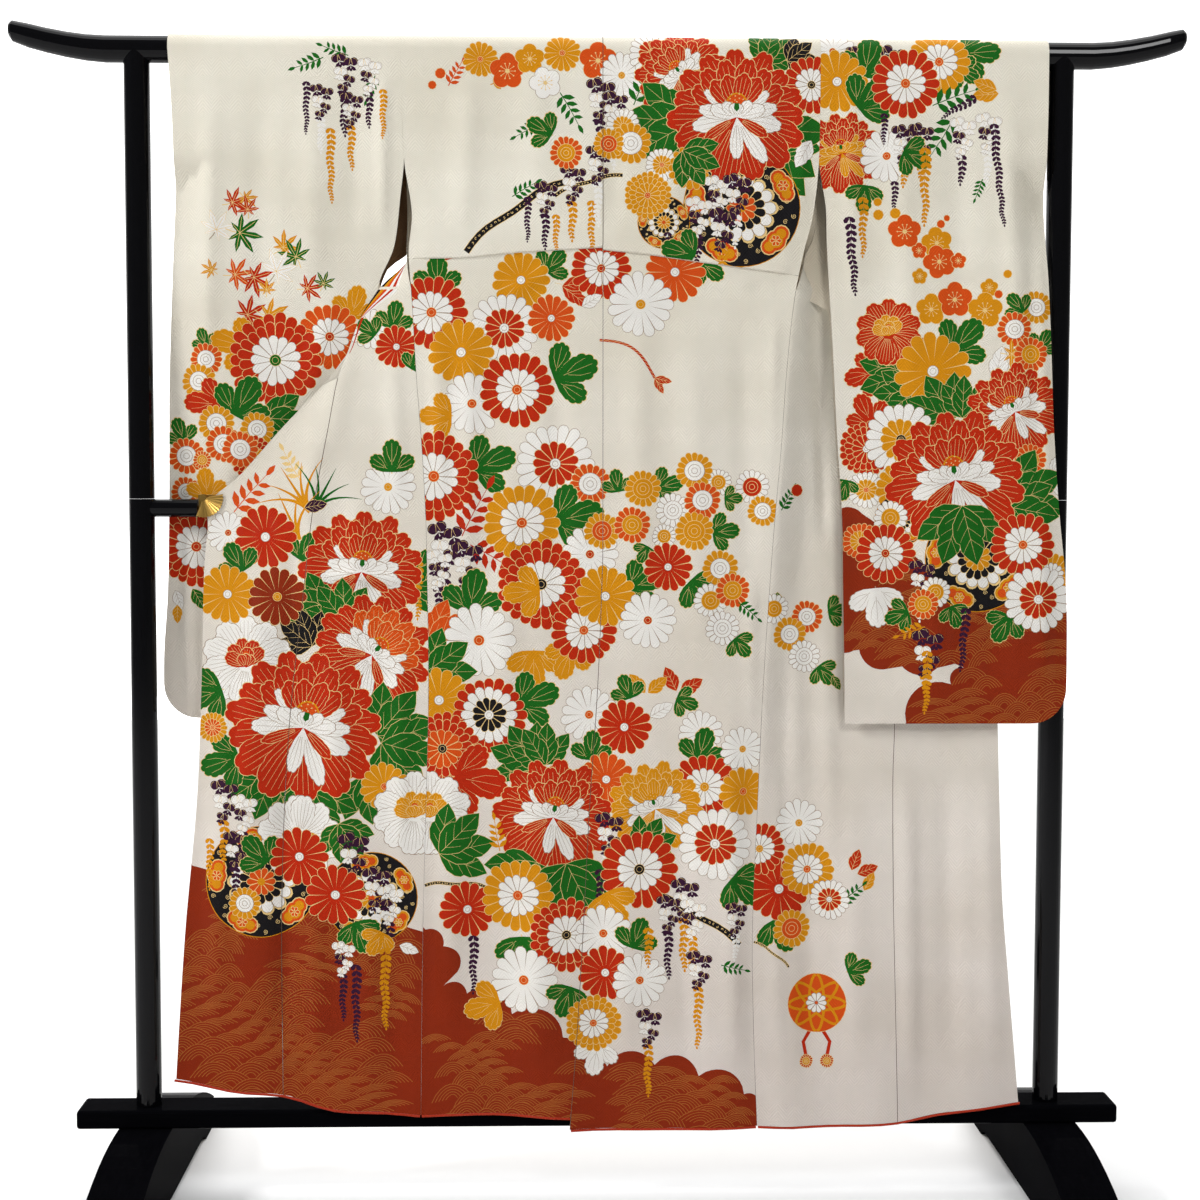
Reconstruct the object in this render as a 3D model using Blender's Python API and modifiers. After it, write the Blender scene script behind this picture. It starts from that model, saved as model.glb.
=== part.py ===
"""A furisode, the long-sleeved silk kimono, hung with its back to the viewer on a black lacquer
display stand. Metres, +Z up, the viewer on the -Y side, the origin on the floor between the feet.

The left front is drawn through the opening under the arm and clipped out in front of the left
sleeve. The right front is clipped out behind the right sleeve. Each cloth piece is an open grid
of points, worked out from its sections, that a Solidify modifier turns into a wall."""

import math
from collections import namedtuple

import bmesh
import bpy
from mathutils import Vector

# Stand
BAR_HEIGHT = 1.7335         # axis of the top bar
BAR_RADIUS = 0.0200
BAR_STRAIGHT = 0.735        # half length before the ends turn up
BAR_TIP = 0.877             # half length at the tips
BAR_SIDES = 24
TIP_RISE = 0.0270
TIP_CURVE = 1.6             # how late the rise comes
TIP_RADIUS = 0.0172
TIP_ROUNDING = {0.0060: 0.90, 0.0015: 0.62, 0.0: 0.30}  # share of the radius this far from a tip
NOTCH_DEPTH = 0.060         # how far below the bar's axis each post's notch is cut
POST_X = 0.6894
POST_RADIUS = 0.0193
CROSSBAR_HALF = 0.793
CROSSBAR_DEPTH = 0.070
CROSSBAR_TOP = 0.1433
CROSSBAR_BOTTOM = 0.1150
CROSSBAR_ROUNDING = 0.0045
FOOT_HALF_LENGTH = 0.340
FOOT_WIDTH = 0.081
FOOT_END_HEIGHT = 0.048
FOOT_CREST = 0.050          # half length of the level crest under the crossbar
FOOT_PAD = 0.080            # length of foot that meets the floor, at each end
FOOT_ARCH = 0.012           # height of the shallow arch between the pads
FOOT_SLOPE = 0.022          # length of the slope from each pad up to the arch
FOOT_ROUNDING = 0.0040
ARM_HEIGHT = 1.0547
ARM_RADIUS = 0.0135
ARM_END = 0.605
POST_JOINT = 1.0685         # each post unscrews into two lengths here
FIT = 0.0003                # clearance between pieces that meet

# Fan clips
HUB_X = 0.5955
HUB_HEIGHT = 1.0705
HUB_RADIUS = 0.0052
FAN_RADIUS = 0.0300
FAN_RIBS = 12
FAN_START = math.radians(10)
FAN_SWEEP = math.radians(-122)
FAN_PLATE = 0.0016
FAN_PLEAT = 0.0005
FAN_NOTCH = 0.965           # rim between two ribs, as a share of the radius
FAN_DEPTH = -0.0126         # middle of the fan plate
JAW_DEPTH = -0.0023         # middle of the plate behind the cloth
JAW_PLATE = 0.0026
JAW_WIDTH = 0.0330
JAW_HEIGHT = 0.0240
JAW_RISE = 0.0085           # middle of the jaw above the arm's axis
JAW_ROUNDING = 0.0008
PIN_HEAD = 0.0022           # how far the pin stands out before the middle of the fan plate

# Cloth
WALL = 0.0020               # outer silk and lining together
WRAP = BAR_RADIUS + 0.0010 + WALL / 2
SEAM = 0.0006               # between two edges that are sewn together
ARMHOLE = 1.5725            # lowest stitch between sleeve and body
COLLAR_WIDTH = 0.0550
COLLAR_STOP = 0.72          # share of the stretch above the clip that the collar covers
ROLL_RADIUS = 0.0019        # padded red edge of the hem
ROLL_STOP = 0.04            # share of a column by which a roll ends short of its panel
WRIST_OPENING = 1.5200      # below this height the sleeve is sewn at its outer edge
SLEEVE_CORNER = 0.0520
CLOSING = 0.060             # stretch in which a sleeve's layers come together at a sewn edge
BACK_WAVE = 0.0032          # depth of the hanging waves of the back
FRONT_WAVE = 0.0030
SLEEVE_RIPPLE = 0.0022
TURNED_DROP = 0.045         # width in which the right front drops back beside the side seam
HEM_REACH = 0.45            # height over which the rows turn parallel to the hem

ARC_STEPS = 8               # sections over the bar
BODY_COLUMNS = 8
SLEEVE_COLUMNS = 8
OKUMI_COLUMNS = 6

# Sections of the back, from the bar down: x of both side edges and of the centre seam, and depth.
Back = namedtuple("Back", "height left_edge centre right_edge depth")
BACK = [
    Back(1.7335, -0.2980, 0.0013, 0.3245, -0.0220),
    Back(1.5725, -0.2930, 0.0015, 0.3230, -0.0221),
    Back(1.4920, -0.2815, 0.0017, 0.3145, -0.0240),
    Back(1.4350, -0.2865, 0.0018, 0.3005, -0.0254),
    Back(1.3650, -0.2815, 0.0020, 0.2870, -0.0265),
    Back(1.2620, -0.2760, 0.0020, 0.2765, -0.0280),
    Back(1.1470, -0.2675, 0.0022, 0.2690, -0.0298),
    Back(1.0450, -0.2620, 0.0022, 0.2605, -0.0313),
    Back(0.9770, -0.2605, 0.0020, 0.2555, -0.0323),
    Back(0.7900, -0.2585, -0.0050, 0.2440, -0.0352),
    Back(0.6000, -0.2630, -0.0175, 0.2360, -0.0380),
    Back(0.4150, -0.2680, -0.0268, 0.2295, -0.0408),
    Back(0.2500, -0.2705, -0.0365, 0.2325, -0.0432),
    Back(0.1100, -0.2720, -0.0470, 0.2385, -0.0445),
]

# Sections of each opened front, from the opening under the arm down: x of the edge that the
# collar is sewn to, then of the free edge, x of the seam between front and okumi, and the depth
# of the outer edge and of the okumi seam. The clip holds the row numbered CLIP_ROW.
CLIP_ROW = 6
Front = namedtuple("Front", "height outer seam outer_depth seam_depth")
LEFT_FRONT = [
    Front(1.3800, -0.3320, -0.3320, -0.0190, -0.0190),
    Front(1.3400, -0.3580, -0.3580, -0.0215, -0.0215),
    Front(1.2850, -0.3785, -0.3785, -0.0212, -0.0212),
    Front(1.2486, -0.4060, -0.3920, -0.0200, -0.0235),
    Front(1.1716, -0.4798, -0.4070, -0.0168, -0.0270),
    Front(1.1060, -0.5387, -0.4205, -0.0122, -0.0265),
    Front(1.0625, -0.5886, -0.4284, -0.0086, -0.0270),
    Front(1.0311, -0.5895, -0.4330, -0.0090, -0.0280),
    Front(0.9585, -0.5955, -0.4410, -0.0125, -0.0320),
    Front(0.7900, -0.6000, -0.4612, -0.0190, -0.0355),
    Front(0.6180, -0.6076, -0.4750, -0.0246, -0.0385),
    Front(0.4160, -0.6265, -0.4812, -0.0312, -0.0415),
    Front(0.1900, -0.6410, -0.4797, -0.0395, -0.0440),
    Front(0.1000, -0.6450, -0.4790, -0.0420, -0.0445),
]
RIGHT_FRONT = [
    Front(1.3800, 0.3340, 0.3340, 0.0020, 0.0020),
    Front(1.3400, 0.3605, 0.3605, 0.0020, 0.0020),
    Front(1.2850, 0.3840, 0.3840, 0.0018, 0.0018),
    Front(1.2486, 0.4080, 0.3960, 0.0010, 0.0010),
    Front(1.1716, 0.4800, 0.4100, -0.0012, -0.0015),
    Front(1.1060, 0.5390, 0.4220, -0.0050, -0.0050),
    Front(1.0625, 0.5886, 0.4290, -0.0086, -0.0070),
    Front(1.0311, 0.5900, 0.4330, -0.0090, -0.0085),
    Front(0.9000, 0.5980, 0.4440, -0.0110, -0.0115),
    Front(0.7290, 0.6041, 0.4465, -0.0150, -0.0150),
    Front(0.6440, 0.6061, 0.4440, -0.0190, -0.0190),
    Front(0.4680, 0.6118, 0.4450, -0.0270, -0.0280),
    Front(0.3510, 0.6216, 0.4475, -0.0320, -0.0340),
    Front(0.1520, 0.6385, 0.4523, -0.0405, -0.0425),
    Front(0.1000, 0.6420, 0.4530, -0.0420, -0.0440),
]

# How each front passes from behind the bar, through the opening under the arm, to the outside:
# the side edge, and the edge that the collar is sewn to.
Turn = namedtuple("Turn", "side_x side_y side_z edge_x edge_y edge_z")
LEFT_TURN = [
    Turn(-0.2978, 0.0215, 1.7050, -0.0002, 0.0215, 1.7020),
    Turn(-0.2972, 0.0215, 1.6920, -0.0500, 0.0216, 1.6930),
    Turn(-0.2966, 0.0215, 1.6750, -0.0880, 0.0218, 1.6720),
    Turn(-0.2950, 0.0215, 1.6250, -0.1350, 0.0225, 1.6200),
    Turn(-0.2930, 0.0210, 1.5725, -0.1700, 0.0230, 1.5750),
    Turn(-0.2915, 0.0120, 1.5300, -0.2070, 0.0225, 1.5300),
    Turn(-0.2895, -0.0010, 1.4920, -0.2400, 0.0210, 1.4900),
    Turn(-0.2890, -0.0130, 1.4600, -0.2680, 0.0170, 1.4550),
    Turn(-0.2890, -0.0218, 1.4330, -0.2850, 0.0100, 1.4320),
    Turn(-0.2878, -0.0252, 1.4130, -0.3000, -0.0010, 1.4120),
    Turn(-0.2855, -0.0262, 1.3950, -0.3180, -0.0120, 1.3950),
]
RIGHT_TURN = [
    Turn(0.3243, 0.0215, 1.7050, 0.0002, 0.0215, 1.7020),
    Turn(0.3241, 0.0215, 1.6920, 0.0500, 0.0216, 1.6930),
    Turn(0.3239, 0.0215, 1.6750, 0.0880, 0.0218, 1.6720),
    Turn(0.3235, 0.0215, 1.6250, 0.1390, 0.0225, 1.6200),
    Turn(0.3230, 0.0210, 1.5725, 0.1760, 0.0230, 1.5750),
    Turn(0.3235, 0.0125, 1.5300, 0.2120, 0.0225, 1.5300),
    Turn(0.3235, 0.0030, 1.4920, 0.2430, 0.0215, 1.4900),
    Turn(0.3165, -0.0090, 1.4600, 0.2720, 0.0190, 1.4550),
    Turn(0.3035, -0.0218, 1.4330, 0.2950, 0.0140, 1.4320),
    Turn(0.3000, -0.0250, 1.4130, 0.3080, 0.0090, 1.4120),
    Turn(0.2948, -0.0262, 1.3950, 0.3220, 0.0050, 1.3950),
]

# Sections of a sleeve: x of the edge towards the body and of the outer edge, the depth midway
# between its two layers, and half the distance between them.
Sleeve = namedtuple("Sleeve", "height inner outer middle half")
LEFT_SLEEVE = [
    Sleeve(1.7335, -0.2980, -0.6399, 0.0000, 0.0220),
    Sleeve(1.6555, -0.2955, -0.6351, -0.0001, 0.0220),
    Sleeve(1.5725, -0.2930, -0.6325, -0.0002, 0.0219),
    Sleeve(1.5200, -0.2985, -0.6335, 0.0008, 0.0212),
    Sleeve(1.4430, -0.3090, -0.6380, 0.0038, 0.0194),
    Sleeve(1.3830, -0.3330, -0.6415, 0.0066, 0.0175),
    Sleeve(1.2460, -0.3280, -0.6486, 0.0140, 0.0125),
    Sleeve(1.1500, -0.3200, -0.6510, 0.0190, 0.0090),
    Sleeve(1.0547, -0.3180, -0.6530, 0.0232, 0.0068),
    Sleeve(0.9240, -0.3180, -0.6565, 0.0230, 0.0070),
    Sleeve(0.8300, -0.3190, -0.6628, 0.0215, 0.0070),
    Sleeve(0.7350, -0.3200, -0.6628, 0.0205, 0.0060),
]
RIGHT_SLEEVE = [
    Sleeve(1.7335, 0.3245, 0.6655, 0.0000, 0.0220),
    Sleeve(1.6425, 0.3240, 0.6655, -0.0002, 0.0220),
    Sleeve(1.5725, 0.3230, 0.6645, -0.0010, 0.0211),
    Sleeve(1.5040, 0.3335, 0.6640, -0.0062, 0.0185),
    Sleeve(1.4550, 0.3350, 0.6660, -0.0120, 0.0145),
    Sleeve(1.4000, 0.3380, 0.6700, -0.0172, 0.0112),
    Sleeve(1.3000, 0.3445, 0.6745, -0.0226, 0.0090),
    Sleeve(1.1700, 0.3515, 0.6795, -0.0275, 0.0078),
    Sleeve(1.0480, 0.3600, 0.6890, -0.0305, 0.0070),
    Sleeve(0.9350, 0.3628, 0.7010, -0.0310, 0.0070),
    Sleeve(0.8240, 0.3655, 0.7039, -0.0310, 0.0070),
    Sleeve(0.7310, 0.3677, 0.7030, -0.0310, 0.0060),
]

# Lowest edges: height of the hem at places across it.
Hem = namedtuple("Hem", "x height")
LEFT_BACK_HEM = [Hem(-0.2717, 0.1380), Hem(-0.1568, 0.1401), Hem(-0.0470, 0.1332)]
RIGHT_BACK_HEM = [Hem(-0.0470, 0.1146), Hem(0.1000, 0.1158), Hem(0.2382, 0.1171)]
LEFT_FRONT_HEM = [
    Hem(-0.6397, 0.1939), Hem(-0.5593, 0.1781), Hem(-0.4797, 0.1699),
    Hem(-0.4105, 0.1495), Hem(-0.3291, 0.1428), Hem(-0.2717, 0.1380),
]
RIGHT_FRONT_HEM = [
    Hem(0.2382, 0.1171), Hem(0.3024, 0.1169), Hem(0.4491, 0.1222),
    Hem(0.5240, 0.1356), Hem(0.6388, 0.1504),
]

PANEL_HEIGHTS = [0.26, 0.38, 0.50, 0.62, 0.74, 0.86, 0.96, 1.0311, 1.0625, 1.1060, 1.1716,
                 1.2100, 1.2486, 1.2850, 1.3400, 1.3800]
BACK_HEIGHTS = PANEL_HEIGHTS + [1.433, 1.47, 1.52, ARMHOLE, 1.65]
OKUMI_TOP = 1.2486
CORNER_RISES = [0.0, 0.004, 0.013, 0.029, SLEEVE_CORNER]
SLEEVE_HEIGHTS = [0.86, 0.95, 1.0547, 1.15, 1.246, 1.315, 1.383, 1.443, 1.52, ARMHOLE, 1.65]

# Colours and finishes
IVORY_SILK = (0.80, 0.76, 0.69)
RED_SILK = (0.42, 0.035, 0.008)
BLACK_LACQUER = (0.006, 0.006, 0.008)
BRASS = (0.62, 0.46, 0.20)


def clamp(value, low=0.0, high=1.0):
    return max(low, min(high, value))


def ease(value):
    """0 to 1 with level ends."""
    value = clamp(value)
    return value * value * (3 - 2 * value)


def along(table, key, column, place):
    """The column's value at a place of the key column, on a smooth curve through the rows."""
    keys = [getattr(row, key) for row in table]
    values = [getattr(row, column) for row in table]
    if keys[0] > keys[-1]:
        keys.reverse()
        values.reverse()
    last = len(keys) - 1
    if place <= keys[0]:
        return values[0]
    if place >= keys[last]:
        return values[last]
    i = next(n for n in range(last) if place <= keys[n + 1])

    def slope(n):
        low, high = max(n - 1, 0), min(n + 1, last)
        return (values[high] - values[low]) / (keys[high] - keys[low])

    span = keys[i + 1] - keys[i]
    t = (place - keys[i]) / span
    return ((2 * t**3 - 3 * t**2 + 1) * values[i] + (t**3 - 2 * t**2 + t) * span * slope(i)
            + (3 * t**2 - 2 * t**3) * values[i + 1] + (t**3 - t**2) * span * slope(i + 1))


def back_depth(x, z):
    """Depth of the back, which hangs in broad shallow waves that grow towards the hem."""
    growth = ease((1.42 - z) / 1.10)
    wave = math.sin(2 * math.pi * x / 0.235 + 0.6) + 0.5 * math.sin(2 * math.pi * x / 0.131 + 2.0)
    return along(BACK, "height", "depth", z) + BACK_WAVE * growth * wave


def back_edge(side, z):
    return along(BACK, "height", "left_edge" if side < 0 else "right_edge", z)


def front_depth(side, x, z):
    """Depth of an opened front. The left one lies nearly flat in front of its sleeve, with a
    ridge at the okumi seam. The right one drops back beside the side seam, behind its sleeve."""
    table = LEFT_FRONT if side < 0 else RIGHT_FRONT
    start = back_edge(side, z)
    seam = along(table, "height", "seam", z)
    outer = along(table, "height", "outer", z)
    start_depth = back_depth(start, z)
    seam_depth = along(table, "height", "seam_depth", z)
    outer_depth = along(table, "height", "outer_depth", z)
    across = clamp((x - start) / (seam - start))
    if across < 1:
        share = ease((x - start) / TURNED_DROP) if side > 0 else across
        depth = start_depth + (seam_depth - start_depth) * share
    else:
        depth = seam_depth + (outer_depth - seam_depth) * ease((x - seam) / (outer - seam))
    growth = ease((1.10 - z) / 0.90)
    wave = math.sin(2 * math.pi * (x - start) / 0.150)
    return depth - FRONT_WAVE * growth * wave * ease(abs(x - start) / TURNED_DROP)


def new_material(name, colour, roughness, metallic=0.0):
    material = bpy.data.materials.new(name)
    material.use_nodes = True
    shader = material.node_tree.nodes["Principled BSDF"]
    shader.inputs["Base Color"].default_value = (*colour, 1.0)
    shader.inputs["Roughness"].default_value = roughness
    shader.inputs["Metallic"].default_value = metallic
    return material


def new_object(name, data, collection, material):
    obj = bpy.data.objects.new(name, data)
    collection.objects.link(obj)
    obj.data.materials.clear()
    obj.data.materials.append(material)
    return obj


def cloth(name, rows, collection, finish):
    """A wall of cloth through rows of points, each row running from the piece's first edge."""
    mesh = bpy.data.meshes.new(name)
    bm = bmesh.new()
    grid = [[bm.verts.new(point) for point in row] for row in rows]
    for upper, lower in zip(grid, grid[1:]):
        for i in range(len(upper) - 1):
            bm.faces.new((upper[i], upper[i + 1], lower[i + 1], lower[i]))
    bmesh.ops.recalc_face_normals(bm, faces=bm.faces)
    bm.to_mesh(mesh)
    bm.free()
    mesh.shade_smooth()
    obj = new_object(name, mesh, collection, new_material(name, *finish))
    wall = obj.modifiers.new("wall", "SOLIDIFY")
    wall.thickness = WALL
    wall.offset = 0
    return obj


def across(start, end, columns):
    return [start.lerp(end, i / columns) for i in range(columns + 1)]


def hem_row(hem, first_x, last_x, columns, depth):
    """The lowest row of a panel, along its hem."""
    points = []
    for i in range(columns + 1):
        x = first_x + (last_x - first_x) * i / columns
        z = along(hem, "x", "height", x)
        points.append(Vector((x, depth(x, z), z)))
    return points


def level_row(first_x, last_x, z, columns, depth):
    """A row of a panel at one height."""
    points = []
    for i in range(columns + 1):
        x = first_x + (last_x - first_x) * i / columns
        points.append(Vector((x, depth(x, z), z)))
    return points


def tilted(row, hem, side_hem):
    """Tilts a level row towards the slope of the hem, more so the nearer it is to the hem."""
    near_hem = clamp(1 - (row[0].z - side_hem) / HEM_REACH) ** 2
    return [Vector((p.x, p.y, p.z + near_hem * (along(hem, "x", "height", p.x) - side_hem)))
            for p in row]


def over_bar(first_x, last_x, columns):
    """Rows that wrap the bar, from its viewer's side to its rear."""
    rows = []
    for step in range(ARC_STEPS + 1):
        angle = math.pi * step / ARC_STEPS
        y = -WRAP * math.cos(angle)
        z = BAR_HEIGHT + WRAP * math.sin(angle)
        rows.append(across(Vector((first_x, y, z)), Vector((last_x, y, z)), columns))
    return rows


def side_hem_height(side):
    """Height of the hem at the side seam, where back and front meet."""
    return LEFT_BACK_HEM[0].height if side < 0 else RIGHT_BACK_HEM[-1].height


def back_rows(side):
    """Rows of the back, from the hem up to the bar."""
    hem = LEFT_BACK_HEM if side < 0 else RIGHT_BACK_HEM
    low = side_hem_height(side)
    rows = [hem_row(hem, back_edge(side, low), along(BACK, "height", "centre", low)
                    + side * SEAM / 2, BODY_COLUMNS, back_depth)]
    for z in BACK_HEIGHTS:
        centre = along(BACK, "height", "centre", z) + side * SEAM / 2
        row = level_row(back_edge(side, z), centre, z, BODY_COLUMNS, back_depth)
        rows.append(tilted(row, hem, low))
    return rows


def turn_rows(side):
    """Rows that pass from behind the bar, through the opening under the arm."""
    rows = []
    for t in LEFT_TURN if side < 0 else RIGHT_TURN:
        sewn_to_sleeve = t.side_z >= ARMHOLE
        side_x = back_edge(side, t.side_z) if sewn_to_sleeve else t.side_x
        edge_x = t.edge_x
        if abs(edge_x) < SEAM:
            edge_x = BACK[0].centre + side * SEAM / 2
        rows.append(across(Vector((side_x, t.side_y, t.side_z)),
                           Vector((edge_x, t.edge_y, t.edge_z)), BODY_COLUMNS))
    return rows


def front_rows(side, heights, first_x, last_x, columns):
    """Rows of an opened front, down to the hem, between two edges given as functions."""
    hem = LEFT_FRONT_HEM if side < 0 else RIGHT_FRONT_HEM
    low = side_hem_height(side)

    def depth(x, z):
        return front_depth(side, x, z)

    rows = []
    for z in heights:
        rows.append(tilted(level_row(first_x(z), last_x(z), z, columns, depth), hem, low))
    rows.append(hem_row(hem, first_x(low), last_x(low), columns, depth))
    return rows


def body_front_rows(side):
    table = LEFT_FRONT if side < 0 else RIGHT_FRONT
    return front_rows(side, list(reversed(PANEL_HEIGHTS)),
                      lambda z: back_edge(side, z) + side * SEAM,
                      lambda z: along(table, "height", "seam", z) - side * SEAM / 2,
                      BODY_COLUMNS)


def okumi_rows(side):
    table = LEFT_FRONT if side < 0 else RIGHT_FRONT
    return front_rows(side, [z for z in reversed(PANEL_HEIGHTS) if z <= OKUMI_TOP],
                      lambda z: along(table, "height", "seam", z) + side * SEAM / 2,
                      lambda z: along(table, "height", "outer", z),
                      OKUMI_COLUMNS)


def build_body(side, collection, finish):
    """One half of the body, a single length of silk from the back hem over the bar, down to the
    opening under the arm, through it, and down again as the opened front."""
    top = BACK[0]
    rows = back_rows(side)
    rows += over_bar(back_edge(side, top.height), top.centre + side * SEAM / 2, BODY_COLUMNS)
    rows += turn_rows(side)
    rows += body_front_rows(side)
    return cloth("body_left" if side < 0 else "body_right", rows, collection, finish)


def build_okumi(side, collection, finish):
    """The narrow panel sewn to the front's edge, from a point under the collar to the hem."""
    name = "okumi_left" if side < 0 else "okumi_right"
    return cloth(name, okumi_rows(side), collection, finish)


def sleeve_section(table, z):
    """x of both edges, with the rounded corner below the outer edge, and the layers' depths."""
    inner = along(table, "height", "inner", z)
    if z >= ARMHOLE:
        side = math.copysign(1, inner)
        inner = back_edge(side, z) + side * SEAM
    outer = along(table, "height", "outer", z)
    rise = z - table[-1].height
    if rise < SLEEVE_CORNER:
        drop = SLEEVE_CORNER - math.sqrt(SLEEVE_CORNER**2 - (SLEEVE_CORNER - rise) ** 2)
        outer -= math.copysign(drop, outer)
    return inner, outer


def sleeve_depth(table, x, z, layer):
    """Depth of a sleeve's layer: -1 is the one towards the viewer. The layers close at the sewn
    outer edge and along the bottom, and stay open towards the body."""
    inner, outer = sleeve_section(table, z)
    middle = along(table, "height", "middle", z)
    half = along(table, "height", "half", z)
    sewn = WALL / 2 + FIT
    from_outer = ease(abs(outer - x) / CLOSING)
    from_bottom = ease((z - table[-1].height) / CLOSING)
    open_wrist = ease((z - WRIST_OPENING) / CLOSING)
    swell = max(from_outer * from_bottom, open_wrist)
    wave = math.sin(2 * math.pi * (x - inner) / 0.170) * ease((1.45 - z) / 0.40)
    ripple = SLEEVE_RIPPLE * wave * from_bottom
    return middle + ripple + layer * (sewn + (half - sewn) * swell)


def build_sleeve(side, collection, finish):
    """A sleeve, one length of silk folded over the bar, sewn along its outer edge and bottom."""
    table = LEFT_SLEEVE if side < 0 else RIGHT_SLEEVE
    top = table[0]
    heights = [table[-1].height + rise for rise in CORNER_RISES] + SLEEVE_HEIGHTS

    def layer_row(z, layer):
        inner, outer = sleeve_section(table, z)
        return level_row(inner, outer, z, SLEEVE_COLUMNS,
                         lambda x, height: sleeve_depth(table, x, height, layer))

    rows = [layer_row(z, -1) for z in heights]
    rows += over_bar(sleeve_section(table, top.height)[0], top.outer, SLEEVE_COLUMNS)
    rows += [layer_row(z, 1) for z in reversed(heights)]
    return cloth("sleeve_left" if side < 0 else "sleeve_right", rows, collection, finish)


def collar_path(side):
    """Points of the edge that the collar is sewn to, from the nape out to the clip."""
    turn = LEFT_TURN if side < 0 else RIGHT_TURN
    table = LEFT_FRONT if side < 0 else RIGHT_FRONT
    points = [Vector((t.edge_x, t.edge_y, t.edge_z)) for t in turn[1:]]
    held = table[CLIP_ROW]
    points += [Vector((row.outer, row.outer_depth, row.height)) for row in table[:CLIP_ROW]]
    points.append(points[-1].lerp(Vector((held.outer, held.outer_depth, held.height)),
                                  COLLAR_STOP))
    return points


def build_collar(collection, finish):
    """The collar, folded to half its cut width, from clip to clip round the nape. Its free edge
    hangs down behind the fronts."""
    behind = Vector((0, WALL + FIT, 0))
    halves = []
    for side in (-1, 1):
        points = collar_path(side)
        rows = []
        for i, point in enumerate(points):
            ahead = points[min(i + 1, len(points) - 1)] - points[max(i - 1, 0)]
            across_edge = Vector((abs(ahead.z), 0, -abs(ahead.x))).normalized()
            across_edge.x *= -side
            start = point + behind
            rows.append(across(start, start + across_edge * COLLAR_WIDTH, 2))
        halves.append(rows)
    nape = Vector((BACK[0].centre, LEFT_TURN[0].edge_y, LEFT_TURN[0].edge_z)) + behind
    middle = [across(nape, nape + Vector((0, 0, -COLLAR_WIDTH)), 2)]
    rows = list(reversed(halves[0])) + middle + halves[1]
    return cloth("collar", rows, collection, finish)


def tube(name, points, radius, collection, finish, sides=1):
    """A round bar along points, as a curve."""
    curve = bpy.data.curves.new(name, "CURVE")
    curve.dimensions = "3D"
    curve.bevel_depth = radius
    curve.bevel_resolution = sides
    curve.use_fill_caps = True
    spline = curve.splines.new("POLY")
    spline.points.add(len(points) - 1)
    for target, point in zip(spline.points, points):
        target.co = (*point, 1.0)
    return new_object(name, curve, collection, new_material(name, *finish))


def build_hem_rolls(collection, finish):
    """The padded red edge of the lining that shows along each hem."""
    drop = Vector((0, 0, -(ROLL_RADIUS + FIT)))
    for side, name in ((-1, "left"), (1, "right")):
        back = back_rows(side)[0]
        back[0] = back[0].lerp(back[1], ROLL_STOP)
        back[-1] = back[-1].lerp(back[-2], ROLL_STOP)
        front = body_front_rows(side)[-1]
        front[0] = front[0].lerp(front[1], ROLL_STOP)
        front += okumi_rows(side)[-1][1:]
        for place, row in (("back", back), ("front", front)):
            tube(f"hem_roll_{place}_{name}", [point + drop for point in row], ROLL_RADIUS,
                 collection, finish)


def cylinder(name, radius, low, high, collection, finish, sides=28, helper=False):
    """A round post between two points."""
    axis = high - low
    mesh = bpy.data.meshes.new(name)
    bm = bmesh.new()
    bmesh.ops.create_cone(bm, cap_ends=True, cap_tris=False, segments=sides, radius1=radius,
                          radius2=radius, depth=axis.length)
    bm.to_mesh(mesh)
    bm.free()
    mesh.shade_smooth()
    mesh.set_sharp_from_angle(angle=math.radians(40))
    obj = new_object(name, mesh, collection, new_material(name, *finish))
    obj.location = (low + high) / 2
    obj.rotation_euler = axis.to_track_quat("Z", "Y").to_euler()
    if helper:
        obj.hide_render = True
        obj.display_type = "WIRE"
    return obj


def cut(obj, cutter, operation="DIFFERENCE"):
    modifier = obj.modifiers.new("cut", "BOOLEAN")
    modifier.operation = operation
    modifier.solver = "EXACT"
    modifier.object = cutter


def build_bar(collection, cutters, finish):
    """The top bar: straight between the posts, with ends that turn up and thin a little."""
    places = [(0.0, 1.0), (0.640, 1.0)]
    places += [(BAR_STRAIGHT + (BAR_TIP - BAR_STRAIGHT) * i / 5, 1.0) for i in range(5)]
    places += [(BAR_TIP - back, share) for back, share in TIP_ROUNDING.items()]
    sections = [(-x, share) for x, share in reversed(places)] + places[1:]
    mesh = bpy.data.meshes.new("top_bar")
    bm = bmesh.new()
    rings = []
    for x, share in sections:
        turn = clamp((abs(x) - BAR_STRAIGHT) / (BAR_TIP - BAR_STRAIGHT))
        centre_z = BAR_HEIGHT + TIP_RISE * turn ** TIP_CURVE
        radius = share * (BAR_RADIUS + (TIP_RADIUS - BAR_RADIUS) * turn)
        ring = []
        for i in range(BAR_SIDES):
            angle = 2 * math.pi * i / BAR_SIDES
            ring.append(bm.verts.new((x, radius * math.cos(angle),
                                      centre_z + radius * math.sin(angle))))
        rings.append(ring)
    for near, far in zip(rings, rings[1:]):
        for i in range(BAR_SIDES):
            after = (i + 1) % BAR_SIDES
            bm.faces.new((near[i], near[after], far[after], far[i]))
    bm.faces.new(rings[0])
    bm.faces.new(rings[-1])
    bmesh.ops.recalc_face_normals(bm, faces=bm.faces)
    bm.to_mesh(mesh)
    bm.free()
    mesh.shade_smooth()
    bar = new_object("top_bar", mesh, collection, new_material("top_bar", *finish))
    for side, name in ((-1, "left"), (1, "right")):
        low = Vector((side * POST_X, 0, BAR_HEIGHT - NOTCH_DEPTH))
        high = Vector((side * POST_X, 0, BAR_HEIGHT + FIT))
        notch = cylinder(f"notch_{name}", POST_RADIUS + FIT, low, high, cutters, finish,
                         helper=True)
        cut(bar, notch)


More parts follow.
